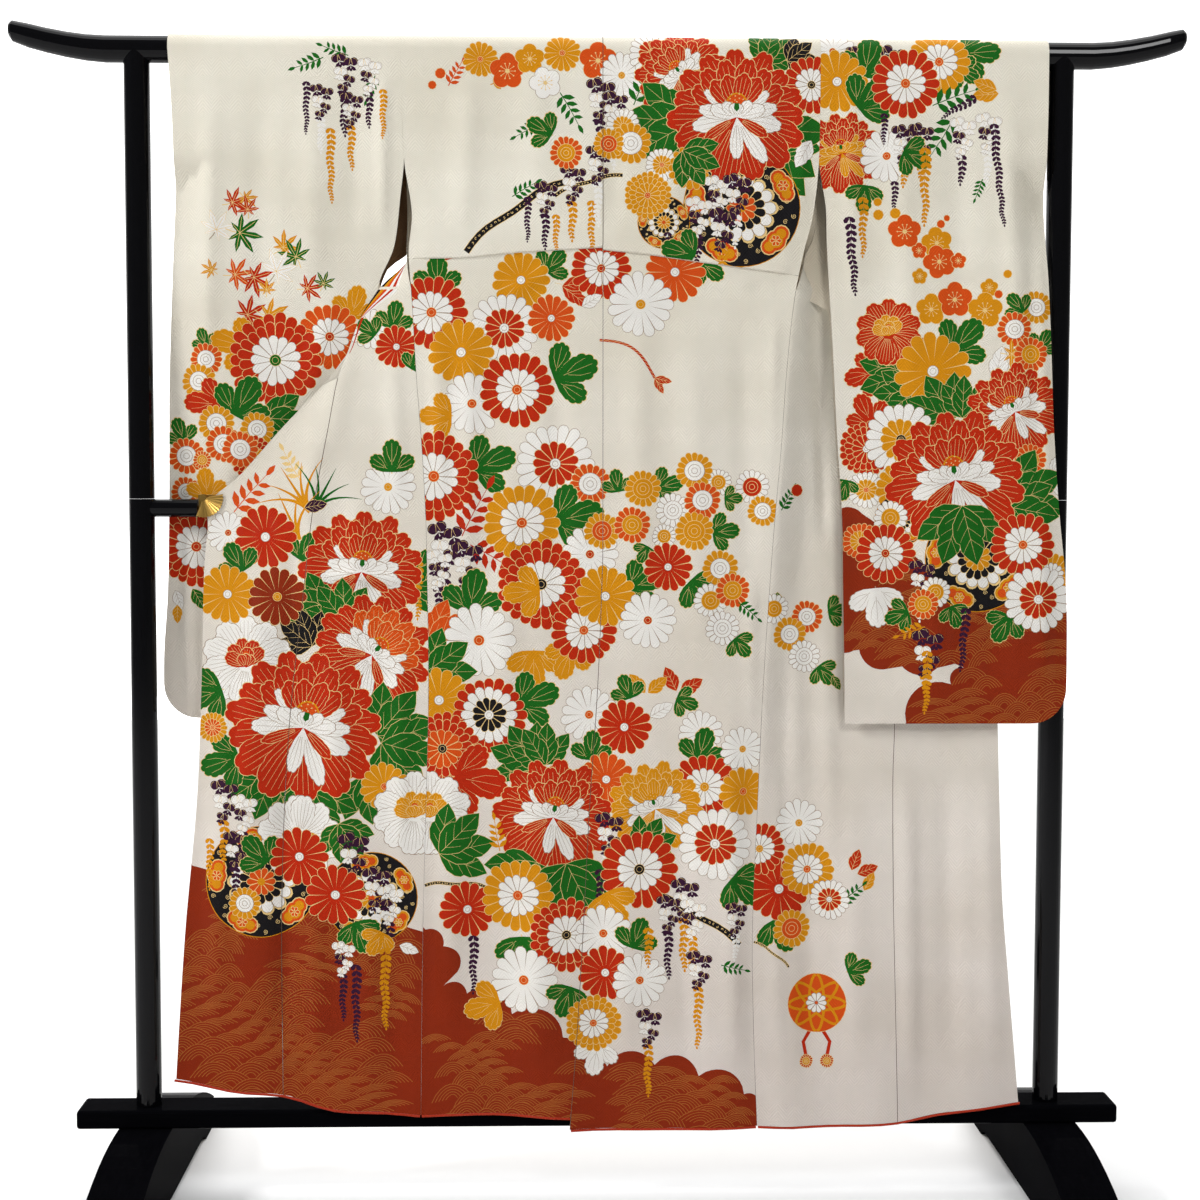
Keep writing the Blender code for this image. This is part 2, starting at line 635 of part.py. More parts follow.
def build_posts(side, collection, finish):
    """A round post in two lengths, from the crossbar up to its notch in the bar."""
    name = "left" if side < 0 else "right"
    for part, low, high in (("lower", CROSSBAR_TOP + FIT, POST_JOINT),
                            ("upper", POST_JOINT + FIT, BAR_HEIGHT)):
        cylinder(f"post_{name}_{part}", POST_RADIUS, Vector((side * POST_X, 0, low)),
                 Vector((side * POST_X, 0, high)), collection, finish)


def build_crossbar(collection, finish):
    mesh = bpy.data.meshes.new("crossbar")
    bm = bmesh.new()
    bmesh.ops.create_cube(bm, size=1.0)
    size = Vector((2 * CROSSBAR_HALF, CROSSBAR_DEPTH, CROSSBAR_TOP - CROSSBAR_BOTTOM))
    bmesh.ops.scale(bm, vec=size, verts=bm.verts)
    bm.to_mesh(mesh)
    bm.free()
    obj = new_object("crossbar", mesh, collection, new_material("crossbar", *finish))
    obj.location.z = (CROSSBAR_TOP + CROSSBAR_BOTTOM) / 2
    bevel = obj.modifiers.new("rounded edges", "BEVEL")
    bevel.width = CROSSBAR_ROUNDING
    bevel.segments = 2
    return obj


def foot_top(y):
    """Height of a foot's arched top."""
    peak = CROSSBAR_BOTTOM - FIT
    fall = (peak - FOOT_END_HEIGHT) / (FOOT_HALF_LENGTH - FOOT_CREST) ** 2
    return peak - fall * max(abs(y) - FOOT_CREST, 0) ** 2


def build_foot(side, collection, finish):
    """A foot that runs front to back, arched on top, on a pad at each end."""
    name = "foot_left" if side < 0 else "foot_right"
    top = [(y, foot_top(y)) for y in [FOOT_HALF_LENGTH * (i / 10 - 1) for i in range(21)]]
    inner = FOOT_HALF_LENGTH - FOOT_PAD
    arch = inner - FOOT_SLOPE
    under = [(inner, 0.0), (arch, FOOT_ARCH), (-arch, FOOT_ARCH), (-inner, 0.0)]
    outline = top + [(FOOT_HALF_LENGTH, 0.0)] + under + [(-FOOT_HALF_LENGTH, 0.0)]
    curve = bpy.data.curves.new(name, "CURVE")
    curve.dimensions = "2D"
    curve.fill_mode = "BOTH"
    curve.extrude = FOOT_WIDTH / 2
    spline = curve.splines.new("POLY")
    spline.use_cyclic_u = True
    spline.points.add(len(outline) - 1)
    for target, (y, z) in zip(spline.points, outline):
        target.co = (y, z, 0, 1)
    obj = new_object(name, curve, collection, new_material(name, *finish))
    obj.rotation_euler = (math.pi / 2, 0, math.pi / 2)
    obj.location.x = side * POST_X
    weld = obj.modifiers.new("weld", "WELD")
    weld.merge_threshold = 0.00005
    bevel = obj.modifiers.new("rounded edges", "BEVEL")
    bevel.width = FOOT_ROUNDING
    bevel.segments = 1
    bevel.angle_limit = math.radians(50)
    return obj


def build_arm(side, collection, cutters, finish):
    """The short arm that carries a clip, hollowed at its root to seat on its post."""
    name = "left" if side < 0 else "right"
    end = Vector((side * ARM_END, 0, ARM_HEIGHT))
    root = Vector((side * POST_X, 0, ARM_HEIGHT))
    arm = cylinder(f"arm_{name}", ARM_RADIUS, root, end, collection, finish, sides=20)
    reach = Vector((0, 0, 2 * ARM_RADIUS))
    seat = cylinder(f"seat_{name}", POST_RADIUS + FIT, root - reach, root + reach, cutters,
                    finish, helper=True)
    cut(arm, seat)


def build_clip(side, collection, cutters, finish):
    """A spring clip shaped as an open fan: a pleated plate before the cloth, a jaw behind it."""
    name = "left" if side < 0 else "right"
    hub = Vector((side * HUB_X, 0, HUB_HEIGHT))
    mesh = bpy.data.meshes.new(f"fan_clip_{name}")
    bm = bmesh.new()
    steps = 2 * FAN_RIBS
    rings = []
    for share in (0.16, 0.55, 1.0):
        ring = []
        for i in range(steps + 1):
            angle = FAN_START + FAN_SWEEP * i / steps
            pleat = FAN_PLEAT * (1 if i % 2 else -1) * share
            rim = FAN_RADIUS * share * (FAN_NOTCH if i % 2 and share == 1.0 else 1.0)
            x = hub.x - side * rim * math.cos(angle)
            ring.append(bm.verts.new((x, FAN_DEPTH + pleat, hub.z + rim * math.sin(angle))))
        rings.append(ring)
    for near, far in zip(rings, rings[1:]):
        for i in range(steps):
            bm.faces.new((near[i], near[i + 1], far[i + 1], far[i]))
    bmesh.ops.recalc_face_normals(bm, faces=bm.faces)
    bm.to_mesh(mesh)
    bm.free()
    fan = new_object(f"fan_clip_{name}", mesh, collection, new_material(f"fan_{name}", *finish))
    plate = fan.modifiers.new("plate", "SOLIDIFY")
    plate.thickness = FAN_PLATE
    plate.offset = 0
    near = Vector((hub.x, FAN_DEPTH - PIN_HEAD, hub.z))
    far = Vector((hub.x, JAW_DEPTH - JAW_PLATE / 2 - FIT, hub.z))
    pin = cylinder(f"pin_{name}", HUB_RADIUS, near, far, cutters, finish, sides=16, helper=True)
    cut(fan, pin, "UNION")

    jaw_mesh = bpy.data.meshes.new(f"clip_jaw_{name}")
    bm = bmesh.new()
    bmesh.ops.create_cube(bm, size=1.0)
    bmesh.ops.scale(bm, vec=Vector((JAW_WIDTH, JAW_PLATE, JAW_HEIGHT)), verts=bm.verts)
    bm.to_mesh(jaw_mesh)
    bm.free()
    jaw = new_object(f"clip_jaw_{name}", jaw_mesh, collection,
                     new_material(f"jaw_{name}", *finish))
    jaw.location = (side * (ARM_END - FIT - JAW_WIDTH / 2), JAW_DEPTH, ARM_HEIGHT + JAW_RISE)
    bevel = jaw.modifiers.new("rounded edges", "BEVEL")
    bevel.width = JAW_ROUNDING
    bevel.segments = 1


def main():
    for obj in list(bpy.data.objects):
        bpy.data.objects.remove(obj)
    parts = bpy.data.collections.new("furisode_on_display_stand")
    cutters = bpy.data.collections.new("cutters")
    bpy.context.scene.collection.children.link(parts)
    bpy.context.scene.collection.children.link(cutters)
    lacquer = (BLACK_LACQUER, 0.12)
    silk = (IVORY_SILK, 0.55)
    red = (RED_SILK, 0.50)
    brass = (BRASS, 0.30, 1.0)

    build_bar(parts, cutters, lacquer)
    build_crossbar(parts, lacquer)
    build_collar(parts, silk)
    for side in (-1, 1):
        build_posts(side, parts, lacquer)
        build_foot(side, parts, lacquer)
        build_arm(side, parts, cutters, lacquer)
        build_clip(side, parts, cutters, brass)
        build_body(side, parts, silk)
        build_okumi(side, parts, silk)
        build_sleeve(side, parts, silk)
    build_hem_rolls(parts, red)


main()
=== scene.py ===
"""A furisode, the long-sleeved silk kimono, hung with its back to the viewer on a black lacquer
display stand. Metres, +Z up, the viewer on the -Y side.

Each panel of silk is drawn flat first: the printed flowers, leaves and waves are closed outlines in
the panel's own plane, and every small triangle takes the colour of the topmost outline that holds
it. The panel is then laid on its hanging form, and given the thickness of silk and lining."""

import math
from collections import defaultdict, namedtuple

import bpy
import numpy as np
from mathutils import Matrix, Vector
from mathutils.geometry import delaunay_2d_cdt
from mathutils.kdtree import KDTree


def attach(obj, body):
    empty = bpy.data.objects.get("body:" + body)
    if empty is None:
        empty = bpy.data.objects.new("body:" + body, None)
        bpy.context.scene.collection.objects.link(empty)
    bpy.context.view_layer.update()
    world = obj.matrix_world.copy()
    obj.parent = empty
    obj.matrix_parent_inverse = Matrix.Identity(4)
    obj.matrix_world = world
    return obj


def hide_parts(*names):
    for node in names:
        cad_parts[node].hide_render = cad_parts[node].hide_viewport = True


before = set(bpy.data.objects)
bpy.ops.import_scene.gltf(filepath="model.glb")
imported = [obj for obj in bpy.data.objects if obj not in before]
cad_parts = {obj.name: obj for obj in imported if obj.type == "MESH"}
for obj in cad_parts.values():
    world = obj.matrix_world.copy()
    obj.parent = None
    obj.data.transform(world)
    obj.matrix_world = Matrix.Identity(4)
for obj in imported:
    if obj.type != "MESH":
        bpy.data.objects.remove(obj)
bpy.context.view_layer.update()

# Stand and camera
BAR_HEIGHT = 1.7335
CAMERA_PLACE = (-0.0793, -3.0, 1.1021)
CAMERA_TILT = 0.0618        # downwards, in radians
CAMERA_YAW = -0.0261
CAMERA_ROLL = 0.0019
FOCAL_PIXELS = 1983.9       # for a picture 1200 pixels wide
PICTURE_PIXELS = 1200
SENSOR = 36.0               # width in millimetres

# Cloth
WRAP = 0.0220               # radius of the silk's middle over the bar
SILK = 0.0016               # silk and lining together
SEAM = 0.0001               # gap between two sewn panels
WALL = 0.0020               # thickness of the solid's cloth
FIT = 0.0003                # play between two layers
ARMHOLE = 1.5725            # height down to which the sleeve is sewn to the body
WRIST_OPENING = 1.5200      # above this height the outer edge of a sleeve is open
SLEEVE_CORNER = 0.0520      # radius of the round lower corner
CLOSING = 0.060             # over which the two layers of a sleeve close towards an edge
BACK_WAVE = 0.0032          # soft waves: height, lengths, and where they begin and how far they grow
BACK_WAVE_LENGTHS = (0.235, 0.131)
BACK_WAVE_GROWTH = (1.42, 1.10)
FRONT_WAVE = 0.0030
FRONT_WAVE_LENGTH = 0.150
FRONT_WAVE_GROWTH = (1.10, 0.90)
SLEEVE_RIPPLE = 0.0022
SLEEVE_RIPPLE_LENGTH = 0.170
SLEEVE_RIPPLE_GROWTH = (1.45, 0.40)
FOLD_FADE = 0.3             # share of a fold's length over which it fades at each end
EDGE_CALM = 0.03            # the folds fade this near the side edges of the back
BAR_CALM = 0.06             # and this near the bar
FRONT_CALM = 0.08           # and this near the top of the opened fronts
TURNED_DROP = 0.045         # over which an opened front falls away from its side seam
GAP_LOW = {-1: 1.415, 1: 1.350}     # the opening under the arm, where the sleeve stands off
GAP_HIGH = 1.590
GAP_FADE = 0.03
GAP_ROOM = 0.0010           # between the sleeve's rear layer and the back's side edge
PAINTED_SHADE_HEIGHTS = (1.39, 1.60)  # heights between which the left sleeve's rear layer has a painted shade on its lining
PAINTED_SHADE_REACH = (-0.01, 0.05)  # how far the painted shade goes inwards and outwards of the opening
FRONT_TOP = 1.3800          # where the opened fronts begin, below the turn under the arm
OKUMI_TOP = 1.2486
CELL = 0.010                # grid that lets the panels bend
ROW = 0.97                  # height of a row of that grid, in cells
LINING_CELL = 0.010
ARC_STEP = 0.006            # along the cloth over the bar
TURN_STEP = 0.008           # along the turn under the arm
TOP_POINTS = 31             # points along a level edge, a curve of sections and the waist seam
CURVE_POINTS = 1600
WAIST_POINTS = 60
STEP = 0.0004               # distance over which a slope is measured
NEAR = 1e-6                 # points of an outline nearer than this are one
WELD = 2e-5                 # vertices of sewn patches nearer than this are one
BEND = 0.006                # sine of the smallest turn that keeps its point
LINE = 0.0008               # the thin outlines of the print
SEAM_SHADE_HALF = 0.0005             # half width of the painted shade along a seam
SHADE_STEP = 0.02
SHADE_LOW = {-1: 0.12, 1: 0.10}     # where the painted seam shades end at the hem
FOLD_GAIN = 3.1             # the folds stand this many times as high as their rows say
BUNDLE = {0: "black", 1: "gold", 2: "orange", 3: "white", 4: "red", 5: "white"}
BUNDLE_TOP = 1.475          # the folded left front shows these stripes between two heights
BUNDLE_LOW = FRONT_TOP + 0.004
STRIPE_COLUMNS = 3          # columns of the net to a stripe, and to the whole turn
TURN_COLUMNS = 30
TAIL_LOW = 1.338            # where the bundle's stripes meet the edge of the left front
TAIL_STRIPE = 0.0006
SHARP = 34                  # degrees
TUCK = 0.0034               # how far the cloth above the waist seam stands forward
TUCK_FADE = 0.16            # height over which the cloth above falls back
CREASE_SIDE = 1.42          # height at which the creases meet the side of the back
CREASE_REACH = 0.004
CREASE_CENTRE = (0.002, 0.0015)     # where they end at the centre seam, and how far they overlap
CREASE_POINTS = 40
WAIST_ENDS = (-0.28, 0.30)  # of the painted shade along the waist seam
TUCK_STEP = (-0.0006, 0.0, 0.0008, 0.0014)     # creases beside the waist seam
RED_EDGE = (FRONT_TOP - 0.02, 1.285)        # heights of the red line along the left front's edge
RED_EDGE_INSET = 0.0035
RED_EDGE_HALF = 0.0020
RED_EDGE_TIP = 0.0004

# Room and finishes
LAMPS = (                   # name, place, what it faces, its sides, and its power in watts
    ("front", (1.7, -4.6, 4.2), (0.0, 0.0, 0.9), 1.4, 1.2, 112),
    ("side", (-5.0, -2.4, 4.2), (0.0, 0.0, 0.9), 1.2, 1.2, 285),
    ("above", (0.0, 1.4, 4.4), (0.0, 1.5, 0.0), 7.0, 4.0, 210),
)
BACKDROP_FINISH = {
    "Base Color": (0.9, 0.9, 0.9, 1), "Emission Color": (1.0, 1.0, 1.0, 1),
    "Emission Strength": 1.0,
}
LACQUER_GRAIN = (18.0, (0.0010, 0.0010, 0.0014), (0.0026, 0.0026, 0.0034))  # scale, two tones
BRASS_GRAIN = (160.0, (0.30, 0.17, 0.035), (0.52, 0.33, 0.09))
FLOOR_GRAIN = (2.0, (0.80, 0.80, 0.80), (0.84, 0.84, 0.84))
CLOUDS = {"Scale": 5.0, "Detail": 3.0}      # soft unevenness of the silk's colour
CLOUD_PLACES = (0.34, 0.64)
CLOUD_SHADES = (0.94, 1.04)
CLOUD_WARMTH = (0.005, 0.020, 0.050)        # how much redder the dark of the pale silk is
BRIGHTEST = 0.95
ROOM_LIGHT = 0.19
ROOM_HALF = 9               # half width of the floor and of the wall of light behind it
BACKDROP_DISTANCE = 6
BACKDROP_FOOT = 1
FLOOR_FINISH = {"Roughness": 0.7}
BRIGHT_FINISH = {"IOR": 1.24, "Roughness": 0.08}    # the posts and the bar are polished more
DULL_FINISH = {"IOR": 1.01, "Roughness": 0.08}
BRASS_FINISH = {"Metallic": 1.0, "Roughness": 0.30}
SILK_FINISH = {
    "Specular IOR Level": 0.09, "Roughness": 0.55, "Sheen Weight": 0.02, "Sheen Roughness": 0.4,
}
PALE_HEIGHT = 1.75          # the pale silk's tint at the floor and at this height; low down it is also darkened as a painted shade
PALE_PLACES = (0.12, 0.85)  # shares of it at which the tint is full and gone
PALE_LOW = (0.925, 0.880, 0.905)
PALE_HIGH = (1.0, 1.0, 0.955)
WEAVE_SWING = 0.0130        # the figured rows swing to and fro over this width
WEAVE_BAND = 0.0270
WEAVE_ROW = 0.0036
WEAVE_START = 10.0          # keeps the coordinates above zero
WEAVE_SLANTS = (0.8, 0.35)
WEAVE_SHADES = {"From Min": -1.0, "To Min": 0.92, "To Max": 1.02}
WEAVE_RELIEF = {"Strength": 0.45, "Distance": 0.0004}

# Sections of the back: height, left edge, centre seam, right edge, depth.
BACK = np.array([
    (1.7335, -0.2980, 0.0013, 0.3245, -0.0220),
    (1.5725, -0.2930, 0.0015, 0.3230, -0.0221),
    (1.4920, -0.2815, 0.0017, 0.3145, -0.0240),
    (1.4350, -0.2865, 0.0018, 0.3005, -0.0254),
    (1.3650, -0.2815, 0.0020, 0.2870, -0.0265),
    (1.2620, -0.2760, 0.0020, 0.2765, -0.0280),
    (1.1470, -0.2675, 0.0022, 0.2690, -0.0298),
    (1.0450, -0.2620, 0.0022, 0.2605, -0.0313),
    (0.9770, -0.2605, 0.0020, 0.2555, -0.0323),
    (0.7900, -0.2585, -0.0050, 0.2440, -0.0352),
    (0.6000, -0.2630, -0.0175, 0.2360, -0.0380),
    (0.4150, -0.2680, -0.0268, 0.2295, -0.0408),
    (0.2500, -0.2705, -0.0365, 0.2325, -0.0432),
    (0.1100, -0.2720, -0.0470, 0.2385, -0.0445),
])

# Sections of each opened front: height, free edge, okumi seam, depth of the edge and of the seam.
LEFT_FRONT = np.array([
    (1.3800, -0.3320, -0.3320, -0.0190, -0.0190),
    (1.3400, -0.3580, -0.3580, -0.0215, -0.0215),
    (1.2850, -0.3785, -0.3785, -0.0212, -0.0212),
    (1.2486, -0.4060, -0.3920, -0.0200, -0.0235),
    (1.1716, -0.4798, -0.4070, -0.0168, -0.0270),
    (1.1060, -0.5387, -0.4205, -0.0122, -0.0265),
    (1.0625, -0.5886, -0.4284, -0.0086, -0.0270),
    (1.0311, -0.5895, -0.4330, -0.0090, -0.0280),
    (0.9585, -0.5955, -0.4410, -0.0125, -0.0320),
    (0.7900, -0.6000, -0.4612, -0.0190, -0.0355),
    (0.6180, -0.6076, -0.4750, -0.0246, -0.0385),
    (0.4160, -0.6265, -0.4812, -0.0312, -0.0415),
    (0.1900, -0.6410, -0.4797, -0.0395, -0.0440),
    (0.1000, -0.6450, -0.4790, -0.0420, -0.0445),
])
RIGHT_FRONT = np.array([
    (1.3800, 0.3340, 0.3340, 0.0020, 0.0020),
    (1.3400, 0.3605, 0.3605, 0.0020, 0.0020),
    (1.2850, 0.3840, 0.3840, 0.0018, 0.0018),
    (1.2486, 0.4080, 0.3960, 0.0010, 0.0010),
    (1.1716, 0.4800, 0.4100, -0.0012, -0.0015),
    (1.1060, 0.5390, 0.4220, -0.0050, -0.0050),
    (1.0625, 0.5886, 0.4290, -0.0086, -0.0070),
    (1.0311, 0.5900, 0.4330, -0.0090, -0.0085),
    (0.9000, 0.5980, 0.4440, -0.0110, -0.0115),
    (0.7290, 0.6041, 0.4465, -0.0150, -0.0150),
    (0.6440, 0.6061, 0.4440, -0.0190, -0.0190),
    (0.4680, 0.6118, 0.4450, -0.0270, -0.0280),
    (0.3510, 0.6216, 0.4475, -0.0320, -0.0340),
    (0.1520, 0.6385, 0.4523, -0.0405, -0.0425),
    (0.1000, 0.6420, 0.4530, -0.0420, -0.0440),
])

# How each front passes through the opening under the arm: side edge, then collar edge.
LEFT_TURN = np.array([
    (-0.2978, 0.0215, 1.7050, -0.0002, 0.0215, 1.7020),
    (-0.2972, 0.0215, 1.6920, -0.0500, 0.0216, 1.6930),
    (-0.2966, 0.0215, 1.6750, -0.0880, 0.0218, 1.6720),
    (-0.2950, 0.0215, 1.6250, -0.1350, 0.0225, 1.6200),
    (-0.2930, 0.0210, 1.5725, -0.1700, 0.0230, 1.5750),
    (-0.2915, 0.0120, 1.5300, -0.2070, 0.0225, 1.5300),
    (-0.2895, -0.0010, 1.4920, -0.2400, 0.0210, 1.4900),
    (-0.2890, -0.0130, 1.4600, -0.2680, 0.0170, 1.4550),
    (-0.2890, -0.0218, 1.4330, -0.2850, 0.0100, 1.4320),
    (-0.2878, -0.0252, 1.4130, -0.3000, -0.0010, 1.4120),
    (-0.2855, -0.0262, 1.3950, -0.3180, -0.0120, 1.3950),
])
RIGHT_TURN = np.array([
    (0.3243, 0.0215, 1.7050, 0.0029, 0.0215, 1.7020),
    (0.3241, 0.0215, 1.6920, 0.0500, 0.0216, 1.6930),
    (0.3239, 0.0215, 1.6750, 0.0880, 0.0218, 1.6720),
    (0.3235, 0.0215, 1.6250, 0.1390, 0.0225, 1.6200),
    (0.3230, 0.0210, 1.5725, 0.1760, 0.0230, 1.5750),
    (0.3235, 0.0125, 1.5300, 0.2120, 0.0225, 1.5300),
    (0.3235, 0.0030, 1.4920, 0.2430, 0.0215, 1.4900),
    (0.3165, -0.0090, 1.4600, 0.2720, 0.0190, 1.4550),
    (0.3035, -0.0218, 1.4330, 0.2950, 0.0140, 1.4320),
    (0.3000, -0.0250, 1.4130, 0.3080, 0.0090, 1.4120),
    (0.2948, -0.0262, 1.3950, 0.3220, 0.0050, 1.3950),
])

# Sections of a sleeve: height, edge towards the body, outer edge, middle depth, half depth.
LEFT_SLEEVE = np.array([
    (1.7335, -0.2980, -0.6399, 0.0000, 0.0220),
    (1.6555, -0.2955, -0.6351, -0.0001, 0.0220),
    (1.5725, -0.2930, -0.6325, -0.0002, 0.0219),
    (1.5200, -0.2985, -0.6335, 0.0008, 0.0212),
    (1.4430, -0.3090, -0.6380, 0.0038, 0.0194),
    (1.3830, -0.3330, -0.6415, 0.0066, 0.0175),
    (1.2460, -0.3280, -0.6486, 0.0140, 0.0125),
    (1.1500, -0.3200, -0.6510, 0.0190, 0.0090),
    (1.0547, -0.3180, -0.6530, 0.0232, 0.0068),
    (0.9240, -0.3180, -0.6565, 0.0230, 0.0070),
    (0.8300, -0.3190, -0.6628, 0.0215, 0.0070),
    (0.7350, -0.3200, -0.6628, 0.0205, 0.0060),
])
RIGHT_SLEEVE = np.array([
    (1.7335, 0.3245, 0.6655, 0.0000, 0.0220),
    (1.6425, 0.3240, 0.6655, -0.0002, 0.0220),
    (1.5725, 0.3230, 0.6645, -0.0010, 0.0211),
    (1.5040, 0.3335, 0.6640, -0.0062, 0.0185),
    (1.4550, 0.3350, 0.6660, -0.0120, 0.0145),
    (1.4000, 0.3380, 0.6700, -0.0172, 0.0112),
    (1.3000, 0.3445, 0.6745, -0.0226, 0.0090),
    (1.1700, 0.3515, 0.6795, -0.0275, 0.0078),
    (1.0480, 0.3600, 0.6890, -0.0305, 0.0070),
    (0.9350, 0.3628, 0.7010, -0.0310, 0.0070),
    (0.8240, 0.3655, 0.7039, -0.0310, 0.0070),
    (0.7310, 0.3677, 0.7030, -0.0310, 0.0060),
])

# Lowest edges: place across and height.
LEFT_BACK_HEM = np.array([(-0.2717, 0.1380), (-0.1568, 0.1401), (-0.0470, 0.1332)])
RIGHT_BACK_HEM = np.array([(-0.0470, 0.1146), (0.1000, 0.1158), (0.2382, 0.1171)])
LEFT_FRONT_HEM = np.array([
    (-0.6397, 0.1939), (-0.5593, 0.1781), (-0.4797, 0.1699),
    (-0.4105, 0.1495), (-0.3291, 0.1428), (-0.2717, 0.1380),
])
RIGHT_FRONT_HEM = np.array([
    (0.2382, 0.1171), (0.3024, 0.1169), (0.4491, 0.1222), (0.5240, 0.1356), (0.6388, 0.1504),
])

# Height of the waist seam on the back, above which the cloth is tucked forward.
WAIST_LEFT = np.array([(-0.2940, 1.4256), (-0.2060, 1.4271), (-0.1215, 1.4357), (0.0010, 1.4436)])
WAIST_RIGHT = np.array([(0.0030, 1.4400), (0.0718, 1.4329), (0.1687, 1.4193), (0.3240, 1.3990)])

# Folds: from x, z to x, z, half width, height towards the viewer.
BACK_FOLDS = [
    (-0.195, 1.715, -0.207, 1.438, 0.020, 0.0014),
    (-0.107, 1.730, -0.084, 1.453, 0.026, 0.0012),
    (0.115, 1.717, 0.098, 1.439, 0.022, 0.0013),
    (0.233, 1.718, 0.250, 1.469, 0.024, 0.0013),
    (0.026, 1.717, 0.015, 1.446, 0.016, -0.0010),
    (0.293, 1.675, 0.304, 1.455, 0.014, 0.0014),
    (-0.246, 1.364, -0.241, 1.038, 0.016, 0.0014),
    (-0.196, 1.364, -0.203, 0.903, 0.018, 0.0016),
    (-0.133, 1.187, -0.152, 0.586, 0.022, 0.0018),
    (-0.068, 1.365, -0.062, 0.768, 0.020, -0.0014),
    (0.057, 1.395, 0.052, 0.888, 0.022, 0.0014),
    (0.131, 1.380, 0.152, 0.767, 0.026, 0.0016),
    (0.209, 1.381, 0.221, 0.888, 0.020, -0.0014),
    (0.260, 1.366, 0.268, 1.039, 0.012, 0.0018),
    (-0.219, 0.768, -0.232, 0.187, 0.024, 0.0022),
    (-0.092, 0.677, -0.098, 0.155, 0.026, 0.0022),
    (0.029, 0.767, 0.042, 0.139, 0.024, 0.0020),
    (0.107, 0.737, 0.137, 0.138, 0.022, -0.0018),
    (0.191, 0.798, 0.206, 0.138, 0.020, 0.0022),
    (0.226, 0.978, 0.235, 0.676, 0.012, 0.0014),
    (-0.062, 1.421, -0.151, 1.364, 0.012, 0.0010),
    (0.146, 1.422, 0.236, 1.381, 0.012, 0.0010),
]
LEFT_FOLDS = [
    (-0.421, 1.216, -0.451, 0.858, 0.020, 0.0016),
    (-0.449, 1.067, -0.471, 0.768, 0.016, -0.0018),
    (-0.471, 0.768, -0.480, 0.173, 0.016, -0.0020),
    (-0.506, 0.978, -0.544, 0.465, 0.022, 0.0018),
    (-0.360, 1.112, -0.373, 0.858, 0.020, 0.0014),
    (-0.406, 0.888, -0.386, 0.464, 0.022, 0.0020),
    (-0.307, 1.320, -0.301, 1.038, 0.016, 0.0014),
    (-0.301, 0.918, -0.297, 0.464, 0.018, 0.0018),
    (-0.562, 0.888, -0.584, 0.189, 0.018, 0.0018),
    (-0.431, 0.541, -0.429, 0.157, 0.020, 0.0022),
    (-0.348, 0.541, -0.344, 0.141, 0.022, 0.0020),
    (-0.373, 1.319, -0.410, 1.112, 0.018, 0.0012),
    (-0.443, 0.960, -0.264, 0.948, 0.008, 0.0014),
    (-0.450, 0.936, -0.264, 0.933, 0.008, -0.0012),
]
RIGHT_FOLDS = [
    (0.297, 1.397, 0.318, 1.038, 0.016, 0.0020),
    (0.328, 1.308, 0.340, 0.978, 0.010, -0.0018),
    (0.285, 0.978, 0.298, 0.582, 0.018, 0.0016),
    (0.338, 0.917, 0.354, 0.458, 0.016, 0.0014),
    (0.257, 0.766, 0.264, 0.179, 0.020, 0.0018),
    (0.379, 0.704, 0.388, 0.147, 0.022, 0.0016),
    (0.319, 0.582, 0.317, 0.148, 0.018, -0.0014),
    (0.463, 0.704, 0.474, 0.131, 0.016, 0.0020),
    (0.524, 0.704, 0.539, 0.146, 0.018, -0.0016),
    (0.585, 0.704, 0.601, 0.162, 0.016, 0.0014),
]
LEFT_SLEEVE_FOLDS = [
    (-0.573, 1.718, -0.593, 1.186, 0.018, 0.0014),
    (-0.507, 1.718, -0.508, 1.217, 0.022, -0.0012),
    (-0.421, 1.719, -0.433, 1.321, 0.022, 0.0014),
    (-0.359, 1.719, -0.372, 1.425, 0.018, -0.0010),
    (-0.322, 1.719, -0.325, 1.440, 0.010, 0.0014),
    (-0.390, 1.410, -0.451, 1.187, 0.018, 0.0014),
    (-0.556, 1.187, -0.581, 0.780, 0.018, 0.0014),
    (-0.617, 1.067, -0.629, 0.796, 0.010, 0.0012),
]
RIGHT_SLEEVE_FOLDS = [
    (0.366, 1.718, 0.382, 1.322, 0.016, 0.0014),
    (0.440, 1.719, 0.467, 1.188, 0.022, 0.0014),
    (0.522, 1.719, 0.546, 1.159, 0.022, -0.0012),
    (0.604, 1.720, 0.630, 1.189, 0.018, 0.0014),
    (0.652, 1.515, 0.675, 0.979, 0.010, 0.0012),
    (0.398, 1.188, 0.415, 0.783, 0.018, 0.0016),
    (0.492, 1.159, 0.512, 0.767, 0.022, 0.0014),
    (0.583, 1.129, 0.597, 0.767, 0.020, -0.0012),
    (0.658, 1.099, 0.669, 0.783, 0.014, 0.0014),
]

# Colours of the print and the silk, and of the painted shades, linear
COLOURS = {
    "ivory": (0.690, 0.655, 0.590),
    "white": (0.745, 0.722, 0.678),
    "line": (0.300, 0.220, 0.150),
    "red": (0.430, 0.018, 0.001),
    "deep_red": (0.225, 0.019, 0.002),
    "wave": (0.330, 0.098, 0.018),
    "orange": (0.570, 0.064, 0.004),
    "gold": (0.580, 0.228, 0.002),
    "pale_gold": (0.700, 0.490, 0.200),
    "green": (0.006, 0.105, 0.006),
    "purple": (0.030, 0.005, 0.024),
    "black": (0.006, 0.005, 0.006),
    "lining": (0.640, 0.580, 0.490),
    "piping": (0.380, 0.030, 0.010),
    # painted shade along the seams, and under the tucked cloth at the waist seam
    "seam": (0.090, 0.060, 0.042),
    # painted shade: the dark inside of the opening under the left arm
    "inside": (0.085, 0.045, 0.020),
}
PALETTE = list(COLOURS)
SIDES = {-1: "left", 1: "right"}
LINING = PALETTE.index("lining")
EDGE = LINING


# Forms

def ease(value):
    """0 to 1 with level ends."""
    value = np.clip(value, 0.0, 1.0)
    return value * value * (3 - 2 * value)


